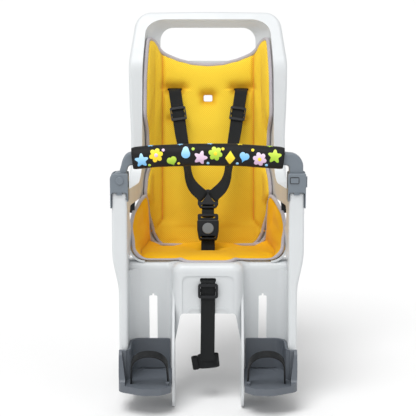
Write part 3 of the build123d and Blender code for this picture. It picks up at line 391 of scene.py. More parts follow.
def inflate(obj, pinned, cap):
    """Blows the padded sheet up between its pinned vertices, none further than cap."""
    mesh = obj.data
    rest = np.array([v.co for v in mesh.vertices])
    group = obj.vertex_groups.new(name="sewn")
    group.add([int(i) for i in np.flatnonzero(pinned)], 1.0, "REPLACE")
    mod = obj.modifiers.new("cloth", "CLOTH")
    cloth = mod.settings
    cloth.vertex_group_mass = "sewn"
    cloth.quality = 6
    cloth.mass = 0.25
    cloth.tension_stiffness = 12
    cloth.compression_stiffness = 12
    cloth.shear_stiffness = 4
    cloth.bending_stiffness = 0.4
    cloth.use_pressure = True
    cloth.uniform_pressure_force = PRESSURE
    cloth.effector_weights.gravity = 0.0
    mod.point_cache.frame_end = CLOTH_FRAMES
    scene = bpy.context.scene
    for step in range(1, CLOTH_FRAMES + 1):
        scene.frame_set(step)
    ready = obj.evaluated_get(bpy.context.evaluated_depsgraph_get())
    moved = np.array([v.co for v in ready.data.vertices]) - rest
    far = np.linalg.norm(moved, axis=1, keepdims=True)
    moved *= np.minimum(1.0, cap / np.maximum(far, 1e-9))
    obj.modifiers.remove(mod)
    mesh.vertices.foreach_set("co", (rest + moved).ravel())
    mesh.update()
    scene.frame_set(1)


def lengths(line):
    """How far along a line each of its points lies."""
    return np.concatenate([[0.0], np.cumsum(np.linalg.norm(np.diff(line, axis=0), axis=1))])


def unit(vectors):
    return vectors / np.maximum(np.linalg.norm(vectors, axis=1, keepdims=True), 1e-9)


def lofted(name, verts, sides, look, uv, closed=False):
    """A band through rings of so many vertices, with flat ends unless it is closed."""
    count = len(verts) // sides
    faces = []
    for k in range(count if closed else count - 1):
        n = (k + 1) % count
        for s in range(sides):
            t = (s + 1) % sides
            faces.append([k * sides + s, k * sides + t, n * sides + t, n * sides + s])
    if not closed:
        faces.append(list(range(sides))[::-1])
        faces.append([(count - 1) * sides + s for s in range(sides)])
    return rounded(piece(name, verts, faces, look, uv))


def tube(name, centres, wide, deep, half, look, closed=True, sides=12):
    """An oval band along centres; wide and deep are the directions of its two half axes."""
    turns = np.arange(sides) * 2 * math.pi / sides
    run = lengths(centres)
    verts = []
    uv = []
    for k in range(len(centres)):
        for turn in turns:
            reach = wide[k] * half[0] * math.cos(turn) + deep[k] * half[1] * math.sin(turn)
            verts.append(centres[k] + reach)
            uv.append((turn * half[0], run[k]))
    return lofted(name, verts, sides, look, uv, closed)


# Cushions: each is a grid over the bucket's own surface, thick in the middle, thin at its sewn edge

TURN = math.pi / 2 - FLARE
FLAT = BACK_HALF - CORNER_R * math.tan(TURN / 2)
BACK_MID_R = 35 * MM
COVE_TOP = 54.6 * MM
EDGE_DEPTH = 5 * MM
PAN_MID_R = 25 * MM
SEAM_LIFT = 1.5 * MM
SEAM_HALF = (1.3 * MM, 0.9 * MM)
SEAM_AIM = (0.13, 0.97, -0.2)
seams = []


def seam_thread(name, line, look):
    """A line of dark stitching along a sewn fold."""
    line = np.array(line)
    tangent = unit(np.gradient(line, axis=0))
    wide = unit(np.cross(tangent, np.broadcast_to(np.array(SEAM_AIM), tangent.shape)))
    deep = np.cross(tangent, wide)
    seams.append(tube(name, line, wide, deep, SEAM_HALF, look, closed=False, sides=6))


def back_point(s, z, d):
    """A point of the bucket's back, s along its level section and d in front of the panel."""
    drop = min(max(0.0, COVE_TOP - z) / math.cos(RECLINE), 0.9 * COVE_R)
    d += COVE_R - math.sqrt(COVE_R ** 2 - drop ** 2)
    radius = CORNER_R - d
    half = BACK_HALF - d / math.cos(FLARE) + d / math.cos(RECLINE) * math.tan(FLARE)
    start = half - radius * math.tan(TURN / 2)
    y = back_at(z) - d / math.cos(RECLINE)
    far = abs(s)
    if far <= FLAT:
        return (s * start / FLAT, y, z)
    turned = min((far - FLAT) / BACK_MID_R, TURN)
    rest = max(0.0, far - FLAT - BACK_MID_R * TURN)
    x = start + radius * math.sin(turned) + rest * math.sin(FLARE)
    y -= radius * (1 - math.cos(turned)) + rest * math.cos(FLARE)
    return (math.copysign(x, s), y, z)


def in_metres(points):
    return [(a * MM, b * MM) for a, b in points]


# Height, and how far the cushion's side edge stands in front of the back there
BACK_REACH = in_metres([
    (28, 9), (45, 14.5), (68.6, 19), (120, 40), (153, 74), (177, 62), (203.5, 29), (274.5, 46),
    (323.5, 78), (396, 75), (425, 66), (440, 58), (476, 40),
])
# Distance from the middle, and the heights of the top and lower edges there
BACK_TOP = in_metres([
    (0, 417.5), (30, 419.5), (60, 426.5), (85, 435.5), (101, 444), (108, 454.5), (116, 465.5),
    (128, 473.5), (141, 476.5), (165, 475.5),
])
BACK_FOOT = in_metres([(0, 27.5), (70, 27.5), (92, 29), (102, 32), (111, 38), (122, 60)])
TOP_SPREAD = 160 * MM
FOOT_SPREAD = 122 * MM
SEAM_FOOT = 88 * MM
SEAM_OUT = 27 * MM
SEAM_ENDS = (62 * MM, 437 * MM)
BACK_THICK = 15.5 * MM
BACK_RIM = 6.5 * MM
BACK_LEAST = 4.5 * MM
BACK_CROWN = 26 * MM
BACK_SWELL = 5.5 * MM
SLOT_HALF = (SLOT_WIDE / 2, SLOT_TALL / 2)
MID_SLOT_HALF = (MID_SLOT_WIDE / 2, MID_SLOT_TALL / 2)
SLOT_HELD = 3 * MM
TACK = (74 * MM, 301 * MM)
TACK_HALF = (12 * MM, 2 * MM)
WAIST_Z = 70 * MM
# Lines of the cushion's grid, in mm: from its middle out, and up past its slots
BACK_COLUMNS = [0, 4.75, 9.5, 15.5, 22, 28, 34, 40, 46, 52, 58, 63, 68.2, 73.5, 78.8, 84, 89]
BACK_ROWS = [330, 334.5, 339, 346, 353, 358, 362.8, 365, 367.2, 371, 376, 381, 386]


def back_edge(z):
    """Arc length from the middle to the cushion's side edge at height z."""
    reach = along(BACK_REACH, z)
    radius = CORNER_R - EDGE_DEPTH
    start = EDGE_DEPTH / math.cos(RECLINE)
    most = radius * (1 - math.cos(TURN))
    if reach - start <= most:
        return FLAT + BACK_MID_R * math.acos(1 - (reach - start) / radius)
    return FLAT + BACK_MID_R * TURN + (reach - start - most) / math.cos(FLARE)


def seam_at(z):
    """Arc length of the fold seam at height z: straight above, and out to the edge at its foot."""
    return SEAM_X + SEAM_OUT * smooth(0.0, SEAM_OUT, SEAM_FOOT - z)


def crown(distance, full):
    """Rise of a sewn pad from its edge, as a share of its thickness."""
    t = min(1.0, max(0.0, distance / full))
    return math.sqrt(1 - (1 - t) ** 2)


def off_box(x, z, place, half):
    """How far (x, z) lies outside a rectangle."""
    return math.hypot(max(abs(x - place[0]) - half[0], 0.0), max(abs(z - place[1]) - half[1], 0.0))


def mirrored(values):
    return [-v for v in values[:0:-1]] + list(values)


def spaced(low, high, count):
    """Even steps from low to high, without low itself."""
    return [low + (high - low) * (k + 1) / count for k in range(count)]


def pull(deep, off, reach):
    """How far cloth is drawn in near a tack that lies off from it."""
    return deep * MM * math.exp(-((off / (reach * MM)) ** 2))


def back_dip(s, z):
    """How far the cushion is drawn in at its seams, slots and tacks."""
    far = abs(s)
    slot = off_box(far, z, (SLOT_X, SLOT_Z), SLOT_HALF)
    middle = off_box(far, z, (0.0, MID_SLOT_Z), MID_SLOT_HALF)
    dip = pull(7, far - seam_at(z), 3.4)
    dip += pull(12, slot, 14 if z > SLOT_Z else 7)
    dip += pull(11, middle, 11 if z > MID_SLOT_Z else 7)
    dip += pull(7, off_box(far, z, TACK, TACK_HALF), 8)
    dip += pull(1.6, z - WAIST_Z, 4) * smooth(18 * MM, 30 * MM, far)
    return dip


def back_depth(s, z, near):
    """Thickness of the back cushion at a place, near being its distance from the edge."""
    full = BACK_RIM + (BACK_THICK - BACK_RIM) * crown(near, BACK_CROWN)
    return max(full - back_dip(s, z), BACK_LEAST)


def back_painted_shade(s, z):
    """How much painted shade a place of the back cushion gets: in the dips at seams, slots and tacks, on
    the wings, and towards the lower end.
    """
    dips = 0.75 * min(1.0, back_dip(s, z) / (10 * MM))
    wing = 0.08 * smooth(96 * MM, 106 * MM, abs(s))
    lower = 0.18 * smooth(-240 * MM, -110 * MM, -z)
    return min(1.0, dips + wing + lower)


def rim_of(cols, rows):
    """The grid places round the edge of a cushion, in order."""
    rim = [(i, 0) for i in range(cols)] + [(cols - 1, j) for j in range(1, rows)]
    rim += [(i, rows - 1) for i in range(cols - 2, -1, -1)]
    return rim + [(0, j) for j in range(rows - 2, 0, -1)]


def make_back_cushion():
    """The back cushion with its slots, and the loop of its edge."""
    inner = [x * MM for x in BACK_COLUMNS] + [FLAT] + spaced(FLAT, SEAM_X, 3)
    outer = spaced(0.0, 1.0, 13)
    columns = mirrored(list(range(len(inner) + len(outer))))
    band = [z * MM for z in BACK_ROWS]
    lower = [0.0] + spaced(0.0, 1.0, 56)
    upper = spaced(0.0, 1.0, 9)

    def heights(k):
        share = 0.0 if k < len(inner) else outer[k - len(inner)]
        at_top = inner[k] if k < len(inner) else SEAM_X + share * (TOP_SPREAD - SEAM_X)
        at_foot = inner[k] if k < len(inner) else SEAM_X + share * (FOOT_SPREAD - SEAM_X)
        foot = along(BACK_FOOT, at_foot)
        top = along(BACK_TOP, at_top)
        rows = [foot + t * (band[0] - foot) for t in lower] + band[1:]
        return rows + [band[-1] + t * (top - band[-1]) for t in upper]

    grid = []
    for column in columns:
        k = abs(column)
        line = []
        for z in heights(k):
            edge = back_edge(z)
            far = inner[k] if k < len(inner) else SEAM_X + outer[k - len(inner)] * (edge - SEAM_X)
            line.append((math.copysign(far, column), z, edge))
        grid.append(line)
    cols = len(columns)
    rows = len(grid[0])
    verts = []
    uv = []
    pinned = []
    painted_shades = []
    front = {}
    back = {}
    for j in range(rows):
        for i in range(cols):
            s, z, edge = grid[i][j]
            near = min(edge - abs(s), grid[i][-1][1] - z, z - grid[i][0][1])
            depth = back_depth(s, z, near)
            at_edge = j in (0, rows - 1) or i in (0, cols - 1)
            seam = abs(abs(s) - seam_at(z)) < 1.0 * MM
            to_slot = off_box(abs(s), z, (SLOT_X, SLOT_Z), SLOT_HALF)
            to_middle = off_box(s, z, (0, MID_SLOT_Z), MID_SLOT_HALF)
            sewn = at_edge or seam or min(to_slot, to_middle) < SLOT_HELD
            for store, d, held in ((front, depth, sewn), (back, PAD_GAP, True)):
                store[j, i] = len(verts)
                verts.append(back_point(s, z, d))
                uv.append((s, z / math.cos(RECLINE)))
                pinned.append(held)
                painted_shades.append(back_painted_shade(s, z))
    kept = np.ones((rows - 1, cols - 1), bool)
    for j in range(rows - 1):
        for i in range(cols - 1):
            s = (grid[i][j][0] + grid[i + 1][j][0]) / 2
            z = (grid[i][j][1] + grid[i][j + 1][1]) / 2
            to_slot = off_box(abs(s), z, (SLOT_X, SLOT_Z), SLOT_HALF)
            kept[j, i] = min(to_slot, off_box(s, z, (0, MID_SLOT_Z), MID_SLOT_HALF)) > 0
    cushion = piece("back_cushion", verts, walls_between(front, back, kept), looks["pad"], uv)
    set_painted_shade(cushion, painted_shades)
    inflate(cushion, np.array(pinned), BACK_SWELL)
    for side, name in ((-1, "left"), (1, "right")):
        seam_line = []
        for z in np.linspace(*SEAM_ENDS, 92):
            far = seam_at(z)
            near = min(back_edge(z) - far, along(BACK_TOP, far) - z)
            seam_line.append(back_point(side * far, z, back_depth(far, z, near) + SEAM_LIFT))
        seam_thread(f"back_seam_{name}", seam_line, seam_look)
    rim = [grid[i][j][:2] for i, j in rim_of(cols, rows)]
    edge_points = [back_point(s, z, EDGE_DEPTH) for s, z in rim]
    deep_points = [back_point(s, z, EDGE_DEPTH + MM) for s, z in rim]
    return cushion, edge_points, deep_points


def seat_wall(y, z, d):
    """X of the bucket's side at (y, z), d inside it."""
    return BACK_HALF - d / math.cos(FLARE) + (back_at(z) - y) * math.tan(FLARE)


def seat_point(share, y, top, d):
    """A point of the bucket's floor and side: share is 1 where the floor ends and 2 at the edge."""
    floor_z = pan_at(y) + d / math.cos(PAN_SLOPE)
    radius = COVE_R - d
    flat = seat_wall(y, floor_z + radius, d) - radius
    far = abs(share)
    if far <= 1:
        return (share * flat, y, floor_z), share * flat
    edge_floor = pan_at(y) + EDGE_DEPTH / math.cos(PAN_SLOPE)
    edge_radius = COVE_R - EDGE_DEPTH
    tall = top - edge_floor
    if tall < edge_radius:
        length = PAN_MID_R * math.acos(1 - tall / edge_radius)
    else:
        length = PAN_MID_R * math.pi / 2 + tall - edge_radius
    run = (far - 1) * length
    turned = min(run / PAN_MID_R, math.pi / 2)
    rest = max(0.0, run - PAN_MID_R * math.pi / 2)
    z = floor_z + radius * (1 - math.cos(turned)) + rest
    if rest > 0:
        x = seat_wall(y, z, d)
    else:
        x = flat + radius * math.sin(turned)
    return (math.copysign(x, share), y, z), math.copysign(flat + run, share)


# Depth, and the height of the cushion's side edge there
SEAT_TOP = in_metres([
    (-128, 62), (-112, 66), (-95, 81), (-87, 101), (-72, 119), (-41, 134), (10, 139.5), (42, 144.5),
    (60, 152), (70, 153.5), (80, 150), (88, 142), (95, 128),
])
# Share of the floor's half width, and the depth of the front edge there
SEAT_FRONT = [
    (0.0, -131 * MM), (0.30, -131 * MM), (0.35, -129 * MM), (0.47, -106.5 * MM), (0.55, -105 * MM),
    (2.0, -105 * MM),
]
TONGUE_DROOP = 5 * MM
SEAT_REAR = 95 * MM
WING_LEAN = 0.24
WING_OUT = 7 * MM
SEAT_THICK = 9.5 * MM
SEAT_CROWN = 5 * MM
SEAT_CORNER = 7 * MM
SEAT_RIM = 5.5 * MM
SEAT_LEAST = 3 * MM
SEAT_SWELL = 3.2 * MM
SEAT_EDGE_RUN = 22 * MM
TONGUE_THIN = 0.5
CROTCH_Y = -5 * MM
CROTCH_HALF = (15.5 * MM, 3 * MM)
WING_SEAM = 1.2
# Lines of the cushion's grid, in mm: from its middle out to the floor's end, and back past its slot
SEAT_COLUMNS = [0, 5, 10, 15.5, 21, 27, 33, 39, 45, 51, 57, 64, 71, 78, 85, 92, 99, 106, 113]
FLOOR_HALF = 119
SEAT_ROWS = [-20, -14, -8, -5, -2, 4, 10]
# Shares of the lines from the floor's end to the wing's seam
WING_LINES = [1.0, 1.05, 1.1, 1.15, WING_SEAM]


def beside_tongue(point):
    """1 along the front edge on either side of the tongue, 0 elsewhere."""
    far = abs(point[0])
    across = smooth(52 * MM, 66 * MM, far) * smooth(-142 * MM, -128 * MM, -far)
    return across * smooth(92 * MM, 100 * MM, -point[1])


def seat_place(share, y, d):
    """A point of the seat cushion, its wings leaning and its tongue drooping, and its run."""
    (x, at, z), run = seat_point(share, y, along(SEAT_TOP, y), d)
    at -= WING_LEAN * smooth(-60 * MM, SEAT_REAR, y) * max(0.0, z - pan_at(y))
    out = WING_OUT * smooth(78 * MM, 102 * MM, z) * smooth(-98 * MM, -80 * MM, at)
    out *= smooth(-44 * MM, -20 * MM, -at)
    z -= TONGUE_DROOP * smooth(112 * MM, 134 * MM, -y)
    return (x + math.copysign(out, x), at, z), run


def seat_edge(share, y, more=0.0):
    """A point of the seat cushion's edge, thin beside the tongue."""
    thin = 1 - TONGUE_THIN * beside_tongue(seat_place(share, y, EDGE_DEPTH)[0])
    return seat_place(share, y, EDGE_DEPTH * thin + more)[0]


def make_seat_cushion():
    """The seat cushion with its two side wings and the crotch strap's slot, and the loop of its edge."""
    floor_shares = [x / FLOOR_HALF for x in SEAT_COLUMNS]
    shares = mirrored(floor_shares + WING_LINES + spaced(WING_SEAM, 2.0, 16))
    band = [y * MM for y in SEAT_ROWS]
    fore = [0.0] + spaced(0.0, 1.0, 20)
    aft = spaced(0.0, 1.0, 17)
    cols = len(shares)
    depths = {}
    grid = []
    for share in shares:
        front_y = along(SEAT_FRONT, abs(share))
        ys = [front_y + t * (band[0] - front_y) for t in fore] + band[1:]
        grid.append(ys + [band[-1] + t * (SEAT_REAR - band[-1]) for t in aft])
    rows = len(grid[0])
    verts = []
    uv = []
    pinned = []
    painted_shades = []
    front = {}
    back = {}
    for j in range(rows):
        for i in range(cols):
            share, y = shares[i], grid[i][j]
            point, run = seat_place(share, y, EDGE_DEPTH)
            edge = abs(seat_place(math.copysign(2.0, share), y, EDGE_DEPTH)[1])
            near = min(edge - abs(run), y - grid[i][0], grid[i][-1] - y)
            depth = SEAT_RIM + (SEAT_THICK - SEAT_RIM) * crown(near, SEAT_EDGE_RUN)
            rear = smooth(20 * MM, 80 * MM, y) * smooth(-1.05, -0.95, -abs(share))
            middle = math.cos(math.pi / 2 * min(1.0, abs(share) / 0.82))
            depth += rear * (SEAT_CROWN * middle - SEAT_CORNER * (1 - middle) ** 2)
            seam = abs(abs(share) - WING_SEAM) * edge
            slot = off_box(point[0], y, (0, CROTCH_Y), CROTCH_HALF)
            depth = max(depth - pull(8, seam, 6) - pull(6, slot, 8), SEAT_LEAST)
            at_edge = j in (0, rows - 1) or i in (0, cols - 1)
            sewn = at_edge or slot < SLOT_HELD or abs(abs(share) - WING_SEAM) < 0.01
            depths[j, i] = depth
            depth *= 1 - TONGUE_THIN * beside_tongue(point)
            # Painted shade: darker along the wing seams and over the wings.
            painted_shade = 0.9 * math.exp(-((seam / (7 * MM)) ** 2)) + 0.25 * smooth(1.0, WING_SEAM, abs(share))
            for store, d, held in ((front, depth, sewn), (back, PAD_GAP, True)):
                point, run = seat_place(share, y, d)
                store[j, i] = len(verts)
                verts.append(point)
                uv.append((run, y))
                pinned.append(held)
                painted_shades.append(min(1.0, painted_shade))
    kept = np.ones((rows - 1, cols - 1), bool)
    for j in range(rows - 1):
        for i in range(cols - 1):
            x = (verts[front[j, i]][0] + verts[front[j, i + 1]][0]) / 2
            y = (grid[i][j] + grid[i][j + 1]) / 2
            kept[j, i] = not (abs(x) < CROTCH_HALF[0] and abs(y - CROTCH_Y) < CROTCH_HALF[1])
    cushion = piece("seat_cushion", verts, walls_between(front, back, kept), smooth_pad, uv)
    set_painted_shade(cushion, painted_shades)
    inflate(cushion, np.array(pinned), SEAT_SWELL)
    for share, name in ((-WING_SEAM, "left"), (WING_SEAM, "right")):
        column = min(range(cols), key=lambda i: abs(shares[i] - share))
        seam_line = []
        for j in range(2, rows - 1):
            lift = depths[j, column] + SEAM_LIFT
            seam_line.append(seat_place(share, grid[column][j], lift)[0])
        seam_thread(f"seat_seam_{name}", seam_line, wing_seam_look)
    rim = [(shares[i], grid[i][j]) for i, j in rim_of(cols, rows)]
    edge_points = [seat_edge(share, y) for share, y in rim]
    deep_points = [seat_edge(share, y, MM) for share, y in rim]
    return cushion, edge_points, deep_points


TAPE_STEP = 5 * MM
TAPE_PASSES = 4
BACK_TAPE = (4.6 * MM, 4.2 * MM)
SEAT_TAPE = (4.4 * MM, 4.0 * MM)


def evened(points):
    """A closed line, stepped evenly and with its corners rounded."""
    points = np.array(points)
    closed = np.vstack([points, points[:1]])
    run = lengths(closed)
    count = int(run[-1] / TAPE_STEP)
    wanted = np.arange(count) * run[-1] / count
    line = np.stack([np.interp(wanted, run, closed[:, k]) for k in range(3)], axis=1)
    for _ in range(TAPE_PASSES):
        line = (np.roll(line, 1, 0) + 2 * line + np.roll(line, -1, 0)) / 4
    return line


def resampled(line, count):
    """A closed line with another number of points."""
    wanted = np.linspace(0, 1, count, endpoint=False)
    given = np.linspace(0, 1, len(line), endpoint=False)
    return np.stack([np.interp(wanted, given, line[:, k]) for k in range(3)], axis=1)


def bind(name, edge_points, deep_points, half, thin=None):
    """The folded tape sewn round a cushion's edge, narrower where thin says so."""
    centre = evened(edge_points)
    inward = evened(deep_points)
    count = min(len(centre), len(inward))
    centre = resampled(centre, count)
    inward = resampled(inward, count)
    tangent = unit(np.roll(centre, -1, 0) - np.roll(centre, 1, 0))
    deep = inward - centre
    deep = unit(deep - tangent * np.sum(deep * tangent, axis=1, keepdims=True))
    wide = np.cross(tangent, deep)
    size = np.array([[1 - TONGUE_THIN * thin(point) if thin else 1.0] for point in centre])
    return tube(name, centre, wide * size, deep * size, half, binding_look)


back_cushion, back_rim, back_rim_in = make_back_cushion()
back_binding = bind("back_binding", back_rim, back_rim_in, BACK_TAPE)
seat_cushion, seat_rim, seat_rim_in = make_seat_cushion()
seat_binding = bind("seat_binding", seat_rim, seat_rim_in, SEAT_TAPE, beside_tongue)
for cushion in (back_cushion, seat_cushion):
    rounded(cushion)
for made in [back_cushion, back_binding, seat_cushion, seat_binding] + seams:
    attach(made, "seat")
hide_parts("back_pad")
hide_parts("seat_pad")

# Webbing: flat ribbons on smooth lines, drawn in the harness plane or hung from the hump

HARNESS = Vector((0.0, -5 * MM, 51.45 * MM))
SLOPE_Y = 0.469767
SLOPE_Z = 0.882791


def on_harness(x, v, out=0.0):
    """A point of the sloping harness plane, x across, v up it and out towards the child."""
    return HARNESS + Vector((x, v * SLOPE_Y - out * SLOPE_Z, v * SLOPE_Z + out * SLOPE_Y))


def spline(points, step):
    """Even samples of a smooth line through the points; further columns are carried along."""
    points = np.array(points, float)
    ends = np.vstack([2 * points[0] - points[1], points, 2 * points[-1] - points[-2]])
    fine = []
    for k in range(1, len(ends) - 2):
        p0, p1, p2, p3 = ends[k - 1:k + 3]
        for t in np.linspace(0, 1, 24, endpoint=False):
            fine.append(
                0.5 * (2 * p1 + (p2 - p0) * t + (2 * p0 - 5 * p1 + 4 * p2 - p3) * t ** 2
                       + (3 * p1 - p0 - 3 * p2 + p3) * t ** 3)
            )
    fine.append(points[-1])
    fine = np.array(fine)
    run = lengths(fine[:, :3])
    count = max(4, int(run[-1] / step) + 1)
    wanted = np.linspace(0, run[-1], count)
    return np.stack([np.interp(wanted, run, fine[:, k]) for k in range(fine.shape[1])], axis=1)


def ribbon(name, centres, across, width, thick):
    """A woven band along centres, across being its width's direction at each point."""
    centres = np.array(centres)
    width = np.broadcast_to(width, len(centres))
    tangent = unit(np.gradient(centres, axis=0))
    across = unit(np.array(across))
    across = unit(across - tangent * np.sum(across * tangent, axis=1, keepdims=True))
    face = np.cross(tangent, across)
    section = [(-0.5, -0.3), (-0.46, -0.5), (-0.2, -0.42), (0.2, -0.42), (0.46, -0.5), (0.5, -0.3)]
    section += [(-a, -b) for a, b in section]
    run = lengths(centres)
    verts = []
    uv = []
    for k in range(len(centres)):
        for a, b in section:
            verts.append(centres[k] + across[k] * width[k] * a + face[k] * thick * b)
            uv.append((a * width[k], run[k]))
    return lofted(name, verts, len(section), looks["webbing"], uv)


def turned_across(centres, twist, normal):
    """Width directions that lie in the plane with this normal, turned about the line by twist."""
    tangent = unit(np.gradient(np.array(centres), axis=0))
    flat = unit(np.cross(np.broadcast_to(np.array(normal), tangent.shape), tangent))
    up = np.cross(tangent, flat)
    return flat * np.cos(twist)[:, None] + up * np.sin(twist)[:, None]


HARNESS_OUT = (0.0, -SLOPE_Z, SLOPE_Y)
WEB = 1.7 * MM
WEB_WIDE = 27 * MM
# On the harness plane, in mm: across, up and out of it, with the twist in degrees
SHOULDER_LINE = [
    (72.6, 354, 0.6, 0), (70.3, 338, 0.3, 0), (66.5, 312, 0.0, 0), (63.1, 288, 0.0, 0),
    (58.5, 256, 0.2, 8), (53.0, 224, 1.0, 24), (47.5, 192, 3.0, 44), (43.2, 168, 5.0, 52),
    (39.2, 150, 6.0, 40), (33.2, 136, 6.6, 22), (26.4, 126.2, 6.8, 6), (19.6, 119.4, 6.8, 0),
    (14.6, 115.0, 6.9, 0), (11.3, 112.4, 6.5, 0), (8.9, 110.6, 5.2, 0), (7.3, 109.5, 2.4, 0),
]
# The end that is tucked back through the yoke's slot: across, up, out and its width, in mm
TUCKED_LINE = [(8.4, 110.2, -0.9, 26), (12.9, 113.4, -1.7, 25), (17.9, 116.8, -1.3, 24)]
# Up and out of the harness plane, in mm
YOKE_LINE = [(96, -3.2), (90, -3.4), (84.5, -2.6), (82.8, 0), (80, 2.0), (72, 1.4), (64, 0.6)]
CROTCH_LINE = [(24, -0.5), (16, 0), (8, 0.2), (0, 0), (-8, 0), (-18, 0), (-26, 0)]


def shoulder_strap(side, name):
    """Out of the slot in the back, down through the slider, round a twist and over the yoke's leg."""
    behind = (SLOT_X, back_at(SLOT_Z) + 5 * MM, SLOT_Z + 1.5 * MM)
    mouth = (SLOT_X, back_at(SLOT_Z) - 10 * MM, SLOT_Z + 0.5 * MM)
    line = [(*behind, 0.0, WEB_WIDE), (*mouth, 0.0, WEB_WIDE)]
    for x, v, out, twist in SHOULDER_LINE:
        line.append((*on_harness(x * MM, v * MM, out * MM), math.radians(twist), WEB_WIDE))
    for x, v, out, wide in TUCKED_LINE:
        line.append((*on_harness(x * MM, v * MM, out * MM), 0.0, wide * MM))
    even = spline(line, 2.5 * MM)
    centres = even[:, :3] * np.array([side, 1, 1])
    across = turned_across(centres, side * even[:, 3], HARNESS_OUT)
    return ribbon(name, centres, across, even[:, 4], WEB)


def straight_web(name, points, width):
    """A web that stays level across the seat."""
    centres = spline(points, 3 * MM)[:, :3]
    return ribbon(name, centres, [(1.0, 0.0, 0.0)] * len(centres), width, WEB)


def harness_web(name, line, width):
    """A web on the middle of the harness plane."""
    return straight_web(name, [on_harness(0, v * MM, out * MM) for v, out in line], width)


webs = []
for side, name in ((-1, "left"), (1, "right")):
    strap = shoulder_strap(side, f"shoulder_web_{name}")
    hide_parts(f"shoulder_strap_{name}")
    webs.append(strap)
yoke_web = harness_web("yoke_web", YOKE_LINE, 26 * MM)
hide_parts("yoke_strap")
crotch_web = harness_web("crotch_web", CROTCH_LINE, 29 * MM)
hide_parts("crotch_strap")
webs += [yoke_web, crotch_web]

# The strap that goes round the bicycle's frame, and the loop that keeps its end
HOLD_LINE = [
    (0, -142, 17.2), (0, -148.5, 17.6), (0, -153.6, 16.2), (0, -155.3, 10), (0, -155.3, -6),
    (0, -155.2, -30), (-0.4, -155.3, -70), (-0.8, -155.8, -110), (-1.2, -155.4, -140),
    (-1.5, -154.6, -150),
]
hold_web = straight_web("retention_web", np.array(HOLD_LINE) * MM, 28.5 * MM)
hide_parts("retention_strap")
loop_low, loop_high = (np.array(corner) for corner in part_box("retention_loop"))
loop_mid = (loop_low + loop_high) / 2


def ring_web(name, shift, half, tall, tilt, turns):
    """A band wound round an upright oval, tilted across."""
    line = []
    for turn in np.linspace(0.0, turns * 2 * math.pi, int(70 * turns)):
        grown = 1 + 0.09 * turn / (2 * math.pi)
        x = math.copysign(abs(math.cos(turn)) ** 0.7, math.cos(turn)) * half[0] * grown
        y = math.sin(turn) * half[1] * grown
        line.append((loop_mid[0] + shift[0] + x, loop_mid[1] + y, loop_mid[2] + shift[1] + tilt * x))
    return ribbon(name, line, [(-tilt, 0.0, 1.0)] * len(line), tall, WEB)


loop_web = ring_web("retention_loop_web", (6 * MM, 1.5 * MM), (19.5 * MM, 8.5 * MM), 27 * MM, 0.10, 1.4)
roll_web = ring_web("retention_roll", (-20 * MM, -3 * MM), (5.6 * MM, 6.4 * MM), 26 * MM, 0.16, 1.7)
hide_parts("retention_loop")
stop_line = spline([(x * MM, -146 * MM, 18 * MM) for x in (-20, -10, 0, 10, 20)], 4 * MM)
upright = [(0.0, 0.0, 1.0)] * len(stop_line)
stop_web = ribbon("retention_stop", stop_line, upright, 13 * MM, 2 * WEB)
webs += [hold_web, loop_web, roll_web, stop_web]

# The tabs that hold the seat cushion's wings, standing out through the side windows
TAB_LINE = [(156.5, -33, 157), (157, -36, 149), (157.6, -37, 140), (158, -34, 131)]
TAB_WIDE = 12 * MM
for side, name in ((-1, "left"), (1, "right")):
    centres = spline([(side * x * MM, y * MM, z * MM) for x, y, z in TAB_LINE], 3 * MM)
    across = [(1.0, 0.3 * side, 0.0)] * len(centres)
    tab = ribbon(f"tab_web_{name}", centres, across, TAB_WIDE, WEB)
    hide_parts(f"pad_tab_{name}")
    webs.append(tab)
for web in webs:
    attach(web, "seat")

# The padded sleeve on the bar: a soft cloth tube with a print of plain motifs
ARCH_R = 1500 * MM
ARCH_Z = 269.6 * MM
BAR_Y = -132 * MM
SLEEVE_HALF = 149.5 * MM
SLEEVE_DEEP = 19 * MM
SLEEVE_TALL = 20.5 * MM
SLEEVE_R = 17 * MM
FLAT_DEEP = SLEEVE_DEEP - SLEEVE_R
FLAT_TALL = SLEEVE_TALL - SLEEVE_R
SLEEVE_LAP = 4 * (FLAT_DEEP + FLAT_TALL) + 2 * math.pi * SLEEVE_R
SLACK = 0.5
GATHER = 0.55


def sleeve_section(w):
    """(forward, outward) place and direction on the rounded section, w along it from its front."""
    w = (w + SLEEVE_LAP / 2) % SLEEVE_LAP - SLEEVE_LAP / 2
    up = math.copysign(1, w)
    w = abs(w)
    quarter = math.pi / 2 * SLEEVE_R
    if w <= FLAT_TALL:
        return (SLEEVE_DEEP, up * w), (1.0, 0.0)
    w -= FLAT_TALL
    if w <= quarter:
        turned = w / SLEEVE_R
        corner = FLAT_DEEP
    else:
        w -= quarter
        if w <= 2 * FLAT_DEEP:
            return (FLAT_DEEP - w, up * SLEEVE_TALL), (0.0, up)
        w -= 2 * FLAT_DEEP
        if w > quarter:
            return (-SLEEVE_DEEP, up * (FLAT_TALL + quarter - w)), (-1.0, 0.0)
        turned = math.pi / 2 + w / SLEEVE_R
        corner = -FLAT_DEEP
    aim = (math.cos(turned), up * math.sin(turned))
    return (corner + SLEEVE_R * aim[0], up * FLAT_TALL + SLEEVE_R * aim[1]), aim


def on_sleeve(t, w, lift=0.0):
    """A point of the sleeve's cloth, t along the bar from its middle, with slack and end gathers."""
    (fore, up), (aim_fore, aim_up) = sleeve_section(w)
    round_at = 2 * math.pi * w / SLEEVE_LAP
    end = smooth(SLEEVE_HALF - 9 * MM, SLEEVE_HALF, abs(t))
    wave = math.sin(t / (17 * MM) + 2.2 * math.sin(round_at))
    slack = SLACK * wave * math.sin(2 * round_at + t / (60 * MM))
    gather = GATHER * math.sin(13 * round_at + 0.6 * math.copysign(1, t)) * end
    out = (slack + gather + 1.2 - 1.6 * end * end) * MM + lift
    turn = t / ARCH_R
    radial = ARCH_R + up + aim_up * out
    z = ARCH_Z - ARCH_R + radial * math.cos(turn)
    return (radial * math.sin(turn), BAR_Y - fore - aim_fore * out, z)


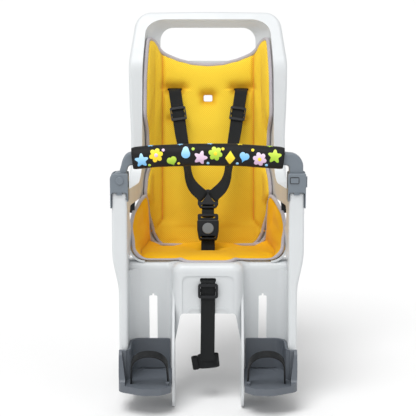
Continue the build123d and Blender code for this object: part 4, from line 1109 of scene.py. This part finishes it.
def make_sleeve():
    """The cloth tube, with its ends tucked in."""
    around = 72
    steps = 101
    verts = []
    uv = []
    for k in range(steps):
        t = -SLEEVE_HALF + 2 * SLEEVE_HALF * k / (steps - 1)
        for s in range(around):
            w = SLEEVE_LAP * s / around
            verts.append(on_sleeve(t, w))
            uv.append((w, t))
    for t in (-SLEEVE_HALF + 5 * MM, SLEEVE_HALF - 5 * MM):
        for s in range(around):
            w = SLEEVE_LAP * s / around
            point = np.array(on_sleeve(t, w))
            core = (np.array(on_sleeve(t, 0.0)) + np.array(on_sleeve(t, SLEEVE_LAP / 2))) / 2
            verts.append(core + (point - core) * 0.8)
            uv.append((w, t))
    faces = []
    for k in range(steps - 1):
        for s in range(around):
            n = (s + 1) % around
            faces.append([k * around + s, k * around + n, (k + 1) * around + n, (k + 1) * around + s])
    for ring, tuck in ((0, steps), (steps - 1, steps + 1)):
        for s in range(around):
            n = (s + 1) % around
            quad = [ring * around + n, ring * around + s, tuck * around + s, tuck * around + n]
            faces.append(quad if ring == 0 else quad[::-1])
    return piece("sleeve_cover", verts, faces, looks["sleeve"], uv)


def print_look(name, low, high):
    """Printed ink with painted light: paler towards the top of its motif."""
    look = Look(name, low, 0.55)
    # Painted light: the ink lightens towards the motif's top.
    top_light = look.ranged(look.axes("UV")[1], -1.0, 1.0, 0.0, 1.0)
    look.colour(look.mix(top_light, low, high))
    look.bump(look.noise(1400.0, 2.0), 0.2, 0.0003)
    return look.material


def star(turn):
    return 0.58 + 0.42 * (0.5 + 0.5 * math.cos(5 * turn)) ** 1.3


def flower(turn):
    return 0.66 + 0.34 * abs(math.cos(3 * turn)) ** 0.8


def heart(turn):
    rise = math.cos(turn)
    return 0.05 + (2 - 2 * rise + rise * math.sqrt(abs(math.sin(turn))) / (rise + 1.4)) / 3.4


def drop(turn):
    return 0.62 + 0.48 * max(0.0, math.cos(turn)) ** 7


def kite(turn):
    return 1 / (abs(math.cos(turn)) + abs(math.sin(turn)) * 1.4)


def dot(_turn):
    return 1.0


INK_LIFT = 0.3 * MM
RINGS = (0.25, 0.5, 0.75, 1.0)


class Ink:
    """All the motifs printed in one colour, gathered into one mesh."""

    def __init__(self, name, low, high):
        self.name = name
        self.look = print_look(f"ink_{name}", low, high)
        self.verts = []
        self.faces = []
        self.uv = []

    def motif(self, outline, t, w, size, tilt=0.0, lift=INK_LIFT):
        """One shape on the sleeve, t along it and w round it."""
        spokes = 60 if size > 6 * MM else 30
        base = len(self.verts)
        self.verts.append(on_sleeve(t, w, lift))
        self.uv.append((0.0, 0.0))
        for ring in RINGS:
            for k in range(spokes):
                turn = 2 * math.pi * k / spokes
                a = outline(turn) * ring * math.sin(turn + tilt)
                b = outline(turn) * ring * math.cos(turn + tilt)
                self.verts.append(on_sleeve(t + size * a, w + size * b, lift))
                self.uv.append((a, b))
        for k in range(spokes):
            n = (k + 1) % spokes
            self.faces.append([base, base + 1 + n, base + 1 + k])
            for ring in range(len(RINGS) - 1):
                low = base + 1 + ring * spokes
                self.faces.append([low + k, low + n, low + spokes + n, low + spokes + k])

    def made(self):
        return piece(f"print_{self.name}", self.verts, self.faces, self.look, self.uv)


sleeve = make_sleeve()
inks = {
    "blue": Ink("blue", (0.13, 0.47, 0.86), (0.48, 0.78, 0.98)),
    "lime": Ink("lime", (0.30, 0.55, 0.02), (0.70, 0.86, 0.10)),
    "yellow": Ink("yellow", (0.86, 0.58, 0.01), (0.98, 0.86, 0.05)),
    "pink": Ink("pink", (0.62, 0.38, 0.58), (0.88, 0.74, 0.86)),
}
BIG_PRINTS = [
    (star, "blue"), (flower, "yellow"), (heart, "lime"), (drop, "blue"), (star, "pink"),
    (flower, "lime"), (kite, "yellow"), (heart, "blue"), (flower, "pink"), (star, "lime"),
]
SMALL_PRINTS = ["lime", "pink", "yellow", "lime", "blue", "yellow", "blue", "yellow", "blue"]
PRINT_STEP = 29 * MM
for k, (outline, ink) in enumerate(BIG_PRINTS):
    t = (k - (len(BIG_PRINTS) - 1) / 2) * PRINT_STEP
    w = (5 if k % 2 else -3) * MM
    inks[ink].motif(outline, t, w, 13.8 * MM, 0.35 * math.sin(2.1 * k))
    if outline is flower:
        middle = "yellow" if ink != "yellow" else "pink"
        inks[middle].motif(dot, t, w, 3.6 * MM, 0.0, 2 * INK_LIFT)
for k, ink in enumerate(SMALL_PRINTS):
    t = (k - (len(SMALL_PRINTS) - 1) / 2) * PRINT_STEP
    side = 1 if k % 2 else -1
    inks[ink].motif(dot, t, side * 14 * MM, 3.0 * MM)
    inks[SMALL_PRINTS[-1 - k]].motif(star, t + 4 * MM, -side * 31 * MM, 6.5 * MM, 0.4 * k)
    inks[SMALL_PRINTS[k - 3]].motif(kite, t - 9 * MM, side * 42 * MM, 5 * MM, 0.3 * k)
prints = [ink.made() for ink in inks.values()]
for made in [sleeve] + prints:
    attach(made, "bar")
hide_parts("bar_sleeve")

# Camera, light and stage
ELEVATION = math.radians(11.5)
DISTANCE = 2.6
TARGET = Vector((0.0, 0.0, 0.135))
LENS = 107.1
camera_data = bpy.data.cameras.new("camera")
camera_data.lens = LENS
camera_data.sensor_width = 36
camera = bpy.data.objects.new("camera", camera_data)
bpy.context.scene.collection.objects.link(camera)
camera.location = TARGET + DISTANCE * Vector((0, -math.cos(ELEVATION), math.sin(ELEVATION)))
camera.rotation_euler = (math.pi / 2 - ELEVATION, 0, 0)
bpy.context.scene.camera = camera


def sun_light(name, place, strength, softness):
    """A far soft light that shines from a place towards the middle of the stage."""
    data = bpy.data.lights.new(name, "SUN")
    data.energy = strength
    data.angle = math.radians(softness)
    light = bpy.data.objects.new(name, data)
    bpy.context.scene.collection.objects.link(light)
    light.location = place
    light.rotation_euler = (-Vector(place)).to_track_quat("-Z", "Y").to_euler()


world = bpy.data.worlds.new("studio")
world.use_nodes = True
sky_nodes = world.node_tree.nodes
sky_nodes["Background"].inputs["Color"].default_value = (1, 1, 1, 1)
sky_way = sky_nodes.new("ShaderNodeTexCoord").outputs["Generated"]
sky_split = sky_nodes.new("ShaderNodeSeparateXYZ")
sky_range = sky_nodes.new("ShaderNodeMapRange")
HORIZON = {"From Min": 0.06, "From Max": 0.20, "To Min": 1.1, "To Max": 0.50}
for socket, value in HORIZON.items():
    sky_range.inputs[socket].default_value = value
world.node_tree.links.new(sky_way, sky_split.inputs[0])
world.node_tree.links.new(sky_split.outputs["Z"], sky_range.inputs["Value"])
world.node_tree.links.new(sky_range.outputs["Result"], sky_nodes["Background"].inputs["Strength"])
bpy.context.scene.world = world
bpy.context.scene.view_settings.view_transform = "Standard"
sun_light("key", (-0.55, -1.00, 2.4), 2.05, 34)
sun_light("fill_left", (-2.0, -1.3, 0.9), 0.36, 50)
sun_light("fill_right", (2.0, -1.3, 0.9), 0.36, 50)
sun_light("top", (0.0, 0.3, 2.4), 0.2, 60)

floor_look = Look("floor", (0.84, 0.84, 0.84), 0.8)
floor_look.bump(floor_look.noise(300.0), 0.05, 0.0005)
FLOOR_Z = cad_box[0][2] - 1 * MM
FLOOR_SPAN = 400.0
corners = [(a * FLOOR_SPAN, b * FLOOR_SPAN, FLOOR_Z) for a, b in ((-1, -1), (1, -1), (1, 1), (-1, 1))]
floor = piece("floor", corners, [[0, 1, 2, 3]], floor_look.material)
